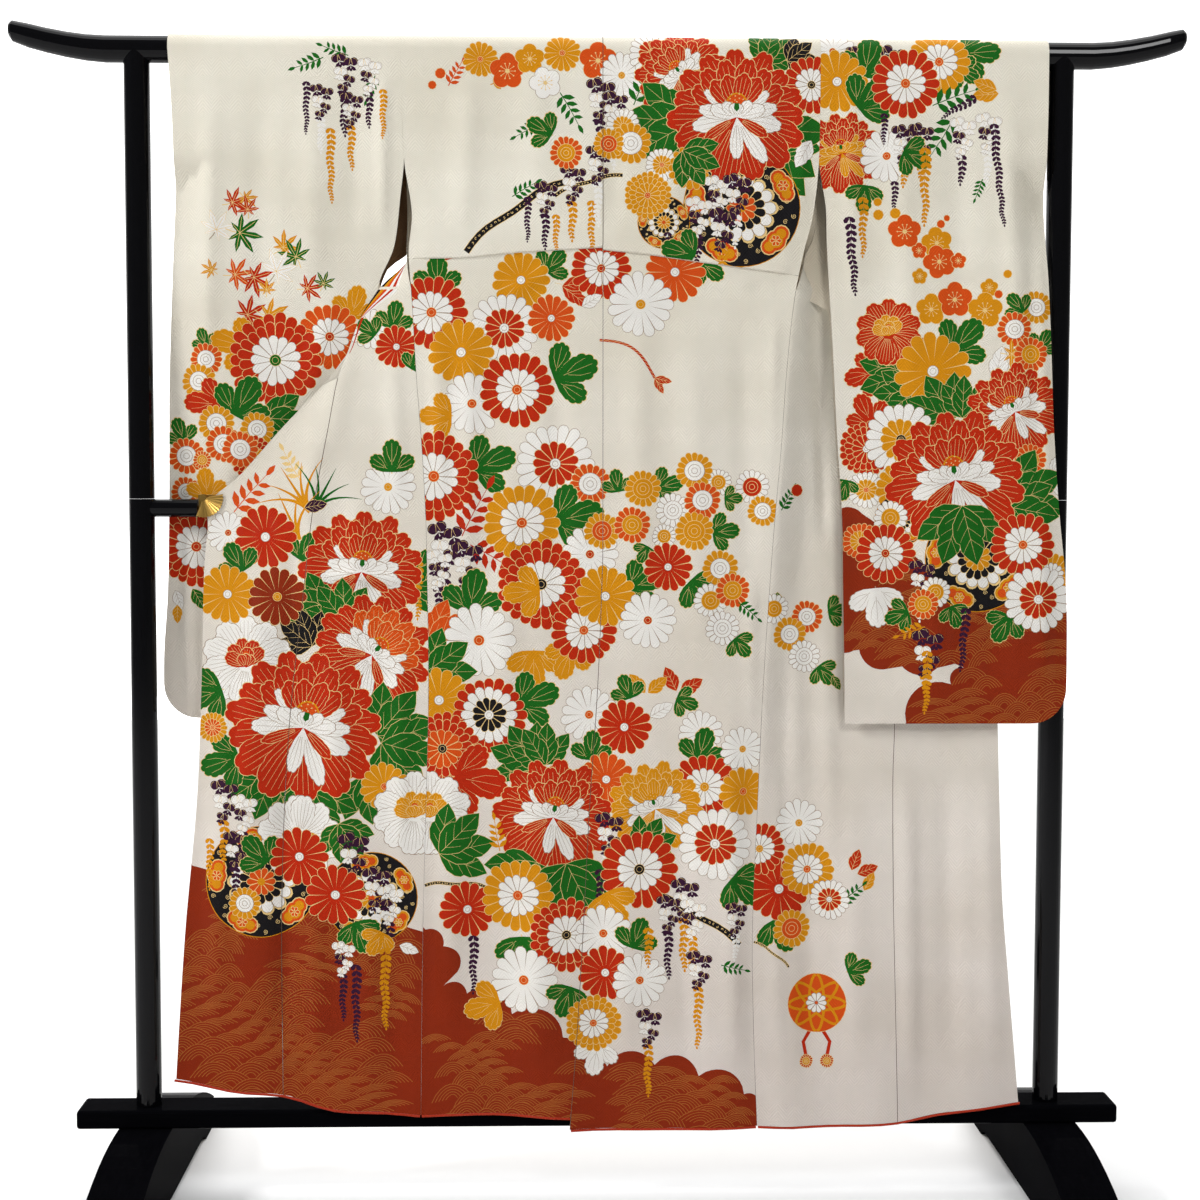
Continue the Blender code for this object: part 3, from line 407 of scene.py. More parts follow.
def growing(z, span):
    """0 above the first height of the span, 1 below it by the second."""
    return ease((span[0] - z) / span[1])


def passage(t, start, end, leaving, arriving, span=1.0):
    """A smooth way from start to end over a span, with its slopes where it leaves and arrives."""
    return ((2 * t**3 - 3 * t**2 + 1) * start + (t**3 - 2 * t**2 + t) * span * leaving
            + (3 * t**2 - 2 * t**3) * end + (t**3 - t**2) * span * arriving)


def curve(keys, values):
    """A smooth curve through the rows, as a function of arrays."""
    order = np.argsort(keys)
    keys, values = keys[order], values[order]
    slopes = np.gradient(values) / np.gradient(keys)
    places = np.linspace(keys[0], keys[-1], CURVE_POINTS)
    i = np.clip(np.searchsorted(keys, places, side="right") - 1, 0, len(keys) - 2)
    span = keys[i + 1] - keys[i]
    t = (places - keys[i]) / span
    samples = passage(t, values[i], values[i + 1], slopes[i], slopes[i + 1], span)
    return lambda place: np.interp(place, places, samples)


def curves(table):
    return [curve(table[:, 0], table[:, column]) for column in range(1, table.shape[1])]


BACK_LEFT, BACK_CENTRE, BACK_RIGHT, BACK_DEPTH = curves(BACK)
FRONTS = {-1: curves(LEFT_FRONT), 1: curves(RIGHT_FRONT)}
SLEEVES = {-1: curves(LEFT_SLEEVE), 1: curves(RIGHT_SLEEVE)}
SLEEVE_BOTTOM = {-1: LEFT_SLEEVE[-1, 0], 1: RIGHT_SLEEVE[-1, 0]}
BACK_HEMS = {-1: curves(LEFT_BACK_HEM)[0], 1: curves(RIGHT_BACK_HEM)[0]}
FRONT_HEMS = {-1: curves(LEFT_FRONT_HEM)[0], 1: curves(RIGHT_FRONT_HEM)[0]}
SIDE_HEM = {-1: LEFT_BACK_HEM[0, 1], 1: RIGHT_BACK_HEM[-1, 1]}


def back_edge(side, z):
    return BACK_LEFT(z) if side < 0 else BACK_RIGHT(z)


def folds(table, x, z):
    """How far the listed folds stand forward: soft ridges and troughs that fade at both ends."""
    total = np.zeros(np.shape(x))
    for x0, z0, x1, z1, width, height in table:
        length = math.hypot(x1 - x0, z1 - z0)
        ux, uz = (x1 - x0) / length, (z1 - z0) / length
        along = (x - x0) * ux + (z - z0) * uz
        aside = (z - z0) * ux - (x - x0) * uz
        fading = FOLD_FADE * length
        fade = ease(along / fading) * ease((length - along) / fading)
        total = total + FOLD_GAIN * height * fade * np.exp(-(aside / width) ** 2)
    return total


def waist(x):
    """Height of the waist seam, which steps at the centre seam."""
    return np.where(x < 0.0020, np.interp(x, WAIST_LEFT[:, 0], WAIST_LEFT[:, 1]),
                    np.interp(x, WAIST_RIGHT[:, 0], WAIST_RIGHT[:, 1]))


def tuck(x, z):
    """The cloth above the waist seam stands forward over the cloth below."""
    above = z - waist(x)
    return TUCK * ease((above - TUCK_STEP[0]) / TUCK_STEP[-1]) * (1 - ease(above / TUCK_FADE))


def back_depth(x, z):
    """The back without its folds: its sections and the soft waves towards the hem."""
    long, short = BACK_WAVE_LENGTHS
    wave = np.sin(2 * np.pi * x / long + 0.6) + 0.5 * np.sin(2 * np.pi * x / short + 2.0)
    return BACK_DEPTH(z) + BACK_WAVE * growing(z, BACK_WAVE_GROWTH) * wave


def back_surface(x, z, layers=1.0):
    """The back with its folds and tuck, which end before its side edges."""
    left, right = back_edge(-1, z), back_edge(1, z)
    inward = ease(np.minimum(x - left, right - x) / EDGE_CALM)
    hanging = ease((BAR_HEIGHT - z) / BAR_CALM)
    forward = folds(BACK_FOLDS, x, z) * hanging + layers * tuck(x, z)
    return back_depth(x, z) - inward * forward


def front_depth(side, x, z):
    """An opened front with its okumi, from the back's side edge to its own free edge."""
    outer_x, seam_x, outer_y, seam_y = (c(z) for c in FRONTS[side])
    start = back_edge(side, z)
    start_y = back_depth(start, z)
    across = np.clip((x - start) / (seam_x - start), 0, 1)
    share = ease((x - start) / TURNED_DROP) if side > 0 else across
    inner = start_y + (seam_y - start_y) * share
    width = np.where(np.abs(outer_x - seam_x) < 1e-4, 1e-4 * side, outer_x - seam_x)
    outer = seam_y + (outer_y - seam_y) * ease((x - seam_x) / width)
    depth = np.where(across < 1, inner, outer)
    wave = np.sin(2 * np.pi * (x - start) / FRONT_WAVE_LENGTH)
    table = LEFT_FOLDS if side < 0 else RIGHT_FOLDS
    forward = folds(table, x, z) * ease((FRONT_TOP - z) / FRONT_CALM)
    forward += FRONT_WAVE * growing(z, FRONT_WAVE_GROWTH) * wave
    return depth - forward * ease(np.abs(x - start) / TURNED_DROP)


def sleeve_edges(side, z):
    """The inner and outer edge of a sleeve, with its round lower corner."""
    inner, outer = SLEEVES[side][0](z), SLEEVES[side][1](z)
    inner = np.where(z >= ARMHOLE, back_edge(side, z) + side * SEAM, inner)
    rise = np.clip(z - SLEEVE_BOTTOM[side], 0, SLEEVE_CORNER)
    drop = SLEEVE_CORNER - np.sqrt(SLEEVE_CORNER**2 - (SLEEVE_CORNER - rise) ** 2)
    return inner, outer - side * drop


def sleeve_depth(side, x, z, layer):
    """One layer of a sleeve: -1 in front, 1 behind."""
    inner, outer = sleeve_edges(side, z)
    middle, half = SLEEVES[side][2](z), SLEEVES[side][3](z)
    sewn = WALL / 2 + FIT
    from_outer = ease(np.abs(outer - x) / CLOSING)
    from_bottom = ease((z - SLEEVE_BOTTOM[side]) / CLOSING)
    open_wrist = ease((z - WRIST_OPENING) / CLOSING)
    swell = np.maximum(from_outer * from_bottom, open_wrist)
    wave = np.sin(2 * np.pi * (x - inner) / SLEEVE_RIPPLE_LENGTH)
    ripple = SLEEVE_RIPPLE * (wave * growing(z, SLEEVE_RIPPLE_GROWTH)) * from_bottom
    table = LEFT_SLEEVE_FOLDS if side < 0 else RIGHT_SLEEVE_FOLDS
    forward = folds(table, x, z) * from_bottom * ease((BAR_HEIGHT - z) / BAR_CALM)
    return middle + ripple - forward + layer * (sewn + (half - sewn) * swell)


def over_bar(x, v, front_y):
    """Points of a panel that hangs at depth front_y up to the bar, and wraps it above."""
    turn = np.clip((v - BAR_HEIGHT) / WRAP, 0, np.pi)
    on_arc = v > BAR_HEIGHT
    y = np.where(on_arc, -WRAP * np.cos(turn), front_y)
    z = np.where(on_arc, BAR_HEIGHT + WRAP * np.sin(turn), v)
    return np.stack([x, y, z], 1)


ARC_TOP = BAR_HEIGHT + math.pi * WRAP


# Print shapes. Each function returns closed outlines with their colours, round the origin and about
# 1 in radius. `line` is the width of the thin outlines, in the same units.

Shape = namedtuple("Shape", "points colour")


def turned(points, angle):
    c, s = math.cos(angle), math.sin(angle)
    return [(x * c - y * s, x * s + y * c) for x, y in points]


def moved(shapes, x=0.0, y=0.0, size=1.0, angle=0.0):
    """Shapes made larger or smaller, turned, and set down at a place."""
    return [Shape([(x + size * a, y + size * b) for a, b in turned(s.points, angle)], s.colour)
            for s in shapes]


def disc(radius, colour, sides=20, x=0.0, y=0.0):
    return Shape([(x + radius * math.cos(2 * math.pi * i / sides),
                   y + radius * math.sin(2 * math.pi * i / sides)) for i in range(sides)], colour)


def ribbon(points, half, colour, end=None):
    """A line through points, of even width, or narrowing from `half` to `end`."""
    left, right = [], []
    last = len(points) - 1
    for i, (x, y) in enumerate(points):
        (ax, ay), (bx, by) = points[max(i - 1, 0)], points[min(i + 1, last)]
        size = math.hypot(bx - ax, by - ay) or 1.0
        w = half if end is None else half + (end - half) * i / last
        nx, ny = -(by - ay) / size * w, (bx - ax) / size * w
        left.append((x + nx, y + ny))
        right.append((x - nx, y - ny))
    return Shape(right + left[::-1], colour)


def edging(colour):
    """The colour of the thin outline that goes with a colour."""
    return "line" if colour == "white" else "pale_gold"


def petal(inner, outer, half, root):
    """A petal along +X with straight sides and a round tip."""
    wide = outer - half
    tip = [(wide + half * math.sin(math.pi * k / 5), -half * math.cos(math.pi * k / 5))
           for k in range(6)]
    return [(inner, -root)] + tip + [(inner, root)]


def ring(line, count, inner, outer, colour, phase=0.0, uneven=0.035):
    """A ring of round-tipped petals, one thin line apart."""
    chord = math.sin(math.pi / count)
    half = outer * chord / (1 + chord) - line / 2
    root = max(inner * chord - line / 2, 0.15 * half)
    shapes = []
    for grow, layer in ((line, edging(colour)), (0.0, colour)):
        for i in range(count):
            reach = outer * (1 + uneven * math.sin(4.7 * i + 9 * phase + count))
            shape = petal(inner - grow, reach + grow, half + grow, root + grow)
            shapes.append(Shape(turned(shape, phase + 2 * math.pi * i / count), layer))
    return shapes


def heart_of(line, radius, colour):
    return [disc(radius + line, edging(colour), 14), disc(radius, colour, 14),
            disc(radius * 0.62, edging(colour), 10), disc(radius * 0.62 - line * 0.7, colour, 10)]


def chrysanthemum(line, outer, inner, heart="orange"):
    """Short outer petals round a long-petalled middle."""
    return (ring(line, 19, 0.50, 1.0, outer) + ring(line, 13, 0.12, 0.58, inner, 0.2)
            + heart_of(line, 0.13, heart))


def double_flower(line, outer, inner, heart="orange"):
    """Two rounds of short outer petals round a long-petalled middle."""
    return (ring(line, 22, 0.70, 1.0, outer) + ring(line, 20, 0.46, 0.80, outer, 0.14)
            + ring(line, 13, 0.10, 0.54, inner, 0.2) + heart_of(line, 0.12, heart))


def daisy(line, colour, heart):
    """A single ring of long petals."""
    return ring(line, 15, 0.10, 1.0, colour) + heart_of(line, 0.14, heart)


def button(line, colour, heart):
    """A small flower: short petals round a broad eye of dotted rounds."""
    return ring(line, 16, 0.40, 1.0, colour) + [
        disc(0.54 + line, edging(heart), 18), disc(0.54, heart, 18),
        disc(0.36, edging(heart), 14), disc(0.36 - line, heart, 14),
        disc(0.18, edging(heart), 10), disc(0.18 - line, heart, 10)]


def lobed(length, half, lobes, depth=0.10):
    """A petal or leaflet along +X with a lobed far edge."""
    points = [(0.0, 0.0), (0.30 * length, -0.66 * half), (0.55 * length, -0.95 * half)]
    steps = 5 * lobes
    for i in range(steps + 1):
        angle = -math.pi / 2 + math.pi * i / steps
        size = 1 - depth + depth * abs(math.sin(math.pi * i / 5)) ** 0.6
        points.append(((0.62 + 0.38 * math.cos(angle) * size) * length, half * math.sin(angle) * size))
    return points + [(0.55 * length, 0.95 * half), (0.30 * length, 0.66 * half)]


def fine_lines(line, length, half, count, colour):
    """Fine lines that open out along a petal."""
    shapes = []
    for i in range(count):
        share = (2 * i - count + 1) / count
        path = [(0.20 * length, 0.28 * half * share), (0.52 * length, 0.78 * half * share),
                ((0.90 - 0.22 * share**2) * length, 0.92 * half * share)]
        shapes.append(ribbon(path, line * 0.42, colour, line * 0.25))
    return shapes


def fan_petal(line, length, half, lobes, colour, lines):
    """A petal with a lobed edge and fine lines."""
    grown = [((x + line * 0.4) * (1 + line / length), y * (1 + line / half))
             for x, y in lobed(length, half, lobes)]
    return ([Shape(grown, edging(colour)), Shape(lobed(length, half, lobes), colour)]
            + fine_lines(line, length, half, lines, edging(colour)))


def peony(line, outer, tongue="white", heart="orange", inner=None):
    """A large flower, seen a little from below: broad petals behind and below, a dome of smaller
    ones above, pale broken petals between them, and the heart in the dome."""
    inner = inner or outer
    shapes = []

    def lay(rows, colour, lobes, lines, lift=0.0):
        for degrees, length, half in rows:
            shapes.extend(moved(fan_petal(line, length, half, lobes, colour, lines), y=lift,
                                angle=math.radians(degrees)))

    lay(((92, 0.98, 0.21), (64, 1.03, 0.20), (119, 1.0, 0.20), (42, 0.96, 0.21), (142, 1.02, 0.21),
         (20, 1.0, 0.20), (163, 0.95, 0.20), (1, 0.97, 0.22), (183, 1.03, 0.22), (-20, 1.02, 0.22),
         (204, 0.97, 0.22)), outer, 4, 5)
    lay(((150, 0.74, 0.17), (30, 0.76, 0.17), (128, 0.80, 0.17), (54, 0.78, 0.17), (104, 0.80, 0.16),
         (77, 0.82, 0.16)), inner, 4, 4, 0.04)
    lay(((-43, 1.0, 0.25), (228, 1.0, 0.25), (-72, 0.95, 0.23), (256, 1.0, 0.24)), outer, 4, 6)
    lay(((193, 0.66, 0.12), (168, 0.56, 0.10), (-12, 0.66, 0.13), (14, 0.60, 0.10),
         (-57, 0.78, 0.11), (270, 0.60, 0.10), (38, 0.58, 0.09), (141, 0.60, 0.08)), tongue, 4, 3)
    lay(((128, 0.58, 0.14), (56, 0.60, 0.14), (106, 0.56, 0.13), (78, 0.58, 0.13)), inner, 3, 4, 0.06)
    shapes += [disc(0.15, "gold", 16, 0.0, 0.20), disc(0.13, heart, 16, 0.0, 0.20)]
    for i in range(16):
        x, y = turned([(0.035 * math.sqrt(i), 0)], 2.4 * i)[0]
        shapes.append(disc(0.011, "pale_gold", 5, x, 0.22 + y))
    lay(((160, 0.40, 0.10), (18, 0.42, 0.10), (133, 0.28, 0.08), (47, 0.30, 0.08),
         (108, 0.20, 0.07), (74, 0.19, 0.06)), tongue, 4, 2, 0.0)
    lay(((-32, 0.52, 0.08), (214, 0.56, 0.07)), outer, 3, 3)
    shapes.append(Shape([(-0.03, 0.20), (-0.04, 0.12), (0.0, 0.08), (0.04, 0.12), (0.03, 0.20)],
                        "green"))
    return shapes


def white_peony(line, petals="white", bowl="red", heart="orange"):
    """A half-open flower: broad pale petals round a coloured bud."""
    shapes = []
    for degrees in (90, 55, 125, 20, 160, -15, 195, -50, 230, -85, 262):
        shapes += moved(fan_petal(line, 1.0, 0.30, 4, petals, 6), angle=math.radians(degrees))
    for degrees, length, half in ((100, 0.62, 0.18), (70, 0.60, 0.18), (130, 0.58, 0.17),
                                  (48, 0.54, 0.15), (152, 0.52, 0.16), (85, 0.42, 0.15)):
        shapes += moved(fan_petal(line, length, half, 4, bowl, 5), y=-0.10,
                        angle=math.radians(degrees))
    shapes.append(disc(0.08, heart, 10, 0.0, 0.16))
    for degrees in (62, 90, 118):
        shapes += moved(fan_petal(line, 0.30, 0.11, 3, bowl, 3), y=-0.12,
                        angle=math.radians(degrees))
    return shapes


def leaflet(line, half, lobes, colour, depth=0.12):
    """A lobed leaflet with three ribs."""
    shapes = [Shape([(x * (1 + 1.2 * line) + line * 0.3, y * (1 + line / half))
                     for x, y in lobed(1.0, half, lobes, depth)], edging(colour)),
              Shape(lobed(1.0, half, lobes, depth), colour)]
    for share in (-0.62, 0.0, 0.62):
        path = [(0.22 + 0.16 * abs(share), 0.16 * half * share), (0.55, 0.72 * half * share),
                (0.88 - 0.16 * abs(share), 0.90 * half * share)]
        shapes.append(ribbon(path, line * 0.34, edging(colour), line * 0.22))
    return shapes


def from_root(count, spread, shrink, draw):
    """The same leaflet several times from one root. The middle one is the largest and on top."""
    shapes = []
    for i in sorted(range(count), key=lambda i: -abs(i - (count - 1) / 2)):
        offset = i - (count - 1) / 2
        size = 1.0 - shrink * abs(offset)
        shapes += moved(draw(size), size=size, angle=spread * offset)
    return shapes


def leaves(line, colour="green"):
    """Three lobed leaflets from one root."""
    stalk = ribbon([(-0.05, 0.0), (0.25, 0.0)], line, edging(colour))
    return [stalk] + from_root(3, 0.95, 0.20, lambda size: leaflet(line / size, 0.30, 5, colour))


def pointed(line, colour, half=0.28):
    """A toothed leaf along +X with a midrib and side veins."""
    side = [(0.10, 0.40), (0.26, 0.86), (0.44, 1.0), (0.56, 0.90), (0.60, 0.72), (0.72, 0.74),
            (0.84, 0.50)]
    outline = ([(0.0, 0.0)] + [(x, -y * half) for x, y in side] + [(1.0, 0.0)]
               + [(x, y * half) for x, y in reversed(side)])
    shapes = [Shape([((x - 0.5) * (1 + 2 * line) + 0.5, y * (1 + line / half))
                     for x, y in outline], edging(colour)), Shape(outline, colour),
              ribbon([(0.06, 0.0), (0.92, 0.0)], line * 0.42, edging(colour), line * 0.22)]
    for i in range(3):
        x = 0.16 + 0.20 * i
        for sign in (-1, 1):
            path = [(x, 0.0), (x + 0.12, sign * 0.40 * half), (x + 0.21, sign * 0.66 * half)]
            shapes.append(ribbon(path, line * 0.30, edging(colour), line * 0.2))
    return shapes


def foliage(line, colour="green"):
    """Four pointed leaflets from one root."""
    return from_root(4, 0.60, 0.08, lambda size: pointed(line / size, colour, 0.27))


def sprig(line, colour="green", count=4):
    """Small oval leaves in pairs along a stem on +X."""
    shapes = [ribbon([(0.0, 0.0), (0.5, 0.02), (1.1, 0.0)], line, colour, line * 0.5)]
    oval = [(0.0, 0.0), (0.25, -0.16), (0.6, -0.20), (1.0, 0.0), (0.6, 0.20), (0.25, 0.16)]
    for i in range(count):
        x = 0.12 + 0.84 * i / count
        for sign in (-1, 1):
            shapes += moved([Shape(oval, colour)], x, 0.0, 0.36 - 0.03 * i, sign * 0.95)
    return shapes + moved([Shape(oval, colour)], 1.0, 0.0, 0.30)


def star_outline(rounds, reach, notch):
    """A star of points of these lengths, 46 degrees apart, with a stalk's foot."""
    outline = []
    for i, length in enumerate(rounds):
        angle = math.radians(-138 + 46 * i)
        outline += turned([(0.62 * length, -0.13 * length), (reach * length, 0.0),
                           (0.62 * length, 0.13 * length)], angle)
        if i < len(rounds) - 1:
            outline += turned([(notch, 0.0)], angle + math.radians(23))
    return outline + [(-0.14, 0.05), (-0.14, -0.05)]


def maple(line, colour):
    """A maple leaf of seven points, outlined, with fine ribs and a stalk."""
    rounds = (0.55, 0.82, 0.98, 1.0, 0.98, 0.82, 0.55)
    outline = star_outline(rounds, 1.0, 0.26)
    shapes = [ribbon([(-0.6, 0.06), (-0.3, 0.0), (0.0, 0.0)], line * 0.8, edging(colour))]
    if colour == "white":
        shapes.append(Shape([(x * (1 + 2 * line), y * (1 + 2 * line)) for x, y in outline], "pale_gold"))
    shapes.append(Shape(outline, colour))
    for i, length in enumerate(rounds):
        path = [(0.0, 0.0), (0.80 * length, 0.0)]
        shapes.append(Shape(turned(ribbon(path, line * 0.5, "line", line * 0.3).points,
                                   math.radians(-138 + 46 * i)), "pale_gold"))
    return shapes


def plum(line, colour, heart="pale_gold"):
    """A five-petalled blossom with stamens."""
    shapes = []
    for grow, layer in ((line, edging(colour)), (0.0, colour)):
        for i in range(5):
            x, y = turned([(0.54, 0)], 2 * math.pi * i / 5 + math.pi / 2)[0]
            shapes.append(disc(0.44 + grow, layer, 14, x, y))
    for i in range(10):
        x, y = turned([(0.42, 0)], 2 * math.pi * i / 10)[0]
        shapes.append(ribbon([(0.2 * x, 0.2 * y), (x, y)], line * 0.4, heart))
        shapes.append(disc(0.045, heart, 6, x, y))
    return shapes + [disc(0.12, heart, 10)]


def floret(line, colour):
    """One pea-like flower of a wisteria: two round petals, two wings and a keel."""
    edge = edging(colour)
    shapes = []
    layers = ((line * 0.8, edge), (0.0, colour)) if colour == "white" else ((0.0, colour),)
    wing = [(0.0, -0.30), (0.42, -0.52), (0.62, -0.86), (0.30, -0.92), (0.06, -0.66)]
    for grow, layer in layers:
        for sign in (-1, 1):
            shapes.append(disc(0.46 + grow, layer, 12, sign * 0.36, 0.10))
            shapes.append(Shape([(sign * x * (1 + grow), y * (1 + grow)) for x, y in wing], layer))
        shapes.append(disc(0.17 + grow, layer, 8, 0.0, -0.80))
    for sign in (-1, 1):
        bow = [(sign * 0.04, 0.44), (sign * 0.10, 0.10), (sign * 0.20, -0.26)]
        shapes.append(ribbon(bow, line * 0.40, "pale_gold", line * 0.3))
        bow = [(sign * 0.30, 0.48), (sign * 0.62, 0.34), (sign * 0.74, 0.04)]
        shapes.append(ribbon(bow, line * 0.34, edge, line * 0.2))
    return shapes


def drops(line, colour, count, first, last, start=0.0):
    """A string of paired drops that hangs from the origin and narrows to its tip."""
    shapes = []
    y = start
    bead = [(0.0, 0.0), (0.35, -0.30), (0.80, -0.30), (1.0, 0.0), (0.80, 0.26), (0.35, 0.22)]
    path = []
    for i in range(count):
        share = i / max(count - 1, 1)
        size = first + (last - first) * share
        x = 0.12 * math.sin(i * 0.9)
        path.append((x, y))
        for degrees in (230, -50):
            shapes += moved([Shape(bead, colour)], x, y, size, math.radians(degrees))
        y -= size * 0.86
    path.append((path[-1][0], y))
    shapes += moved([Shape(bead, colour)], path[-1][0], y, last, -math.pi / 2)
    return [ribbon(path, line * 0.6, colour)] + shapes


def wisteria(line, colour, second="gold", length="9"):
    """A hanging cluster: florets above, strings of drops below. Its half width is 1."""
    second_colour = "white" if colour == "purple" else "purple"
    places = ((-0.55, 0.10, 1.0), (0.75, -0.30, 0.98), (-0.35, -1.35, 0.90), (0.55, -2.10, 0.82),
              (-0.15, -3.05, 0.74))
    shapes = drops(line, second, int(length) + 2, 0.80, 0.40, start=-3.3)
    for i, (x, y, size) in enumerate(places):
        shade = second_colour if i == 2 else colour
        shapes += moved(floret(line / size, shade), x, y, size, 0.35 * math.sin(7 * i + 40 * line))
    return shapes


def raceme(line, colour, length="9"):
    """Only a string of paired drops."""
    return drops(line, colour, int(length) + 4, 0.95, 0.42)


def grass(line, colour="gold", count=5):
    """Thin arching blades from one root."""
    shapes = []
    for i in range(count):
        lean = (i - (count - 1) / 2) / count * 2.2
        path = [(lean * (j / 8) ** 1.7, 1.15 * j / 8 - 0.40 * abs(lean) * (j / 8) ** 2)
                for j in range(9)]
        shapes.append(ribbon(path, 0.052, colour, 0.004))
    return shapes


def scroll(line, colour, turns=1.6):
    """A small curl."""
    path = []
    for i in range(15):
        angle = turns * 2 * math.pi * i / 14
        path.append(((1 - i / 16) * math.cos(angle), (1 - i / 16) * math.sin(angle)))
    return [ribbon(path, line * 0.5, colour)]


def roundel(line, ground="black", second="orange", third="gold"):
    """A plain traditional roundel: a dark band of small scrolls, an edge of cloud lobes in two
    colours, and a field of plain petals inside."""
    shapes = [disc(1.0, "gold", 44), disc(1.0 - line * 1.4, ground, 44)]
    for i in range(5):
        angle = 2 * math.pi * i / 5 + 0.5
        for grow, layer in ((0.02, "pale_gold"), (0.0, second), (-0.045, third)):
            for offset, radius in ((-0.19, 0.13), (0.0, 0.17), (0.19, 0.13)):
                x, y = turned([(0.80, 0)], angle + offset)[0]
                shapes.append(disc(radius + grow, layer, 12, x, y))
        shapes += moved(ring(line / 0.10, 6, 0.2, 1.0, second), *turned([(0.80, 0)], angle)[0], 0.09)
    for i in range(42):
        x, y = turned([(0.66 + 0.12 * (i % 3), 0)], 2 * math.pi * i / 42)[0]
        if abs(((i / 42 * 5 - 0.5 * 5 / (2 * math.pi) + 0.5) % 1.0) - 0.5) > 0.27:
            shapes += moved(scroll(line / 0.045, "pale_gold"), x, y, 0.045, i * 1.9)
    shapes += moved(ring(line / 0.60, 14, 0.3, 1.0, "pale_gold"), size=0.60)
    shapes += moved(ring(line / 0.57, 14, 0.3, 1.0, "white"), size=0.56)
    shapes += moved(ring(line / 0.42, 14, 0.3, 1.0, ground, 0.22), size=0.40)
    shapes += moved(ring(line / 0.26, 10, 0.2, 1.0, second), size=0.25)
    return shapes + [disc(0.07, third, 10)]


def bud(line, colour):
    """A plain round bud."""
    return [disc(1 + line, edging(colour), 9), disc(1.0, colour, 9)]


def rosette(line, outer, middle, inner):
    """Three rounds of petals, each of its own colour."""
    return (ring(line, 20, 0.58, 1.0, outer) + ring(line, 16, 0.36, 0.76, middle)
            + ring(line, 12, 0.10, 0.46, inner, 0.2) + heart_of(line, 0.12, middle))


def branch(line, colour="black", fleck="pale_gold"):
    """A stem that bends as it runs from the origin to (1, 0), flecked with small curls."""
    path = [(i / 12, 0.10 * math.sin(2.6 * i / 12) + 0.02 * math.sin(9 * i / 12))
            for i in range(13)]
    shapes = [ribbon(path, 0.030, fleck), ribbon(path, 0.030 - line, colour)]
    for i in range(1, 24):
        x = i / 24
        y = 0.10 * math.sin(2.6 * x) + 0.02 * math.sin(9 * x)
        shapes += moved(scroll(line / 0.012, fleck, 0.8), x, y, 0.012, i * 2.3)
    return shapes


def cord(line, colour="red"):
    """A twisted cord from the origin to (1, 0) that ends in two leaves."""
    path = [(i / 16, 0.16 * math.sin(3.4 * i / 16)) for i in range(17)]
    shapes = [ribbon(path, 0.020, colour)]
    for i in range(16):
        (ax, ay), (bx, by) = path[i], path[i + 1]
        shapes.append(ribbon([(ax, ay - 0.016), (bx, by + 0.016)], line * 0.4, "pale_gold"))
    x, y = path[-1]
    for angle in (-0.5, 0.35):
        shapes += moved(pointed(line / 0.26, colour, 0.22), x, y, 0.26, angle)
    return shapes


def ball(line, colour="orange", band="gold"):
    """A thread ball with crossing bands and two tied cords."""
    shapes = []
    for sign in (-1, 1):
        path = [(sign * 0.2, -0.9), (sign * 0.45, -1.3), (sign * 0.35, -1.8)]
        shapes.append(ribbon(path, 0.06, "red"))
        shapes += moved(button(line / 0.22, "red", "gold"), sign * 0.35, -1.95, 0.22)
    shapes += [disc(1.0, "pale_gold", 30), disc(1.0 - line, colour, 30)]
    for i in range(4):
        angle = math.pi * i / 4
        for offset in (-0.5, 0.5):
            path = [(math.cos(t) * 0.96, offset * math.sin(t) * 0.5) for t in
                    np.linspace(0.1, math.pi - 0.1, 12)]
            shapes += moved([ribbon(path, 0.045, band)], angle=angle)
    return shapes + moved(ring(line / 0.34, 10, 0.2, 1.0, "white"), size=0.34)


def hill(line, width, height):
    """One wave: its ground, and five nested arcs that lean to a side, above a base on y = 0."""
    def arc(share):
        return [(-width / 2 * share + width * share * t + 0.10 * height * math.sin(math.pi * t),
                 height * share * math.sin(math.pi * t) ** 0.8) for t in np.linspace(0, 1, 9)]
    return [Shape(arc(1.0), "deep_red")] + [ribbon(arc(1 - 0.175 * i), line * 0.5, "wave")
                                            for i in range(5)]


def inside(outline, points):
    """Which of the points lie inside a closed outline."""
    x, y = np.array(points)[:, 0], np.array(points)[:, 1]
    result = np.zeros(len(x), bool)
    for (ax, ay), (bx, by) in zip(outline, outline[1:] + outline[:1]):
        if ay == by:
            continue
        cross = ax + (y - ay) / (by - ay) * (bx - ax)
        result ^= ((ay > y) != (by > y)) & (x < cross)
    return result


def bank(cusps, scallops, bulge=0.26):
    """A cloud bank: straight sides, and an outward arc on each side named in `scallops`."""
    turn = math.copysign(1.0, signed_area(cusps))
    outline = []
    for i, (ax, ay) in enumerate(cusps):
        bx, by = cusps[(i + 1) % len(cusps)]
        outline.append((ax, ay))
        if i in scallops:
            for t in np.linspace(0, 1, 12)[1:-1]:
                swell = bulge * 4 * (t * (1 - t)) ** 0.8 * 0.95
                outline.append((float(ax + (bx - ax) * t + turn * (by - ay) * swell),
                                float(ay + (by - ay) * t - turn * (bx - ax) * swell)))
    return outline


WAVE_DROP = 0.0125          # from one row of waves to the next
WAVE_LINE = 0.0011
WAVE_CHANCE = -0.75         # above this a place holds a wave


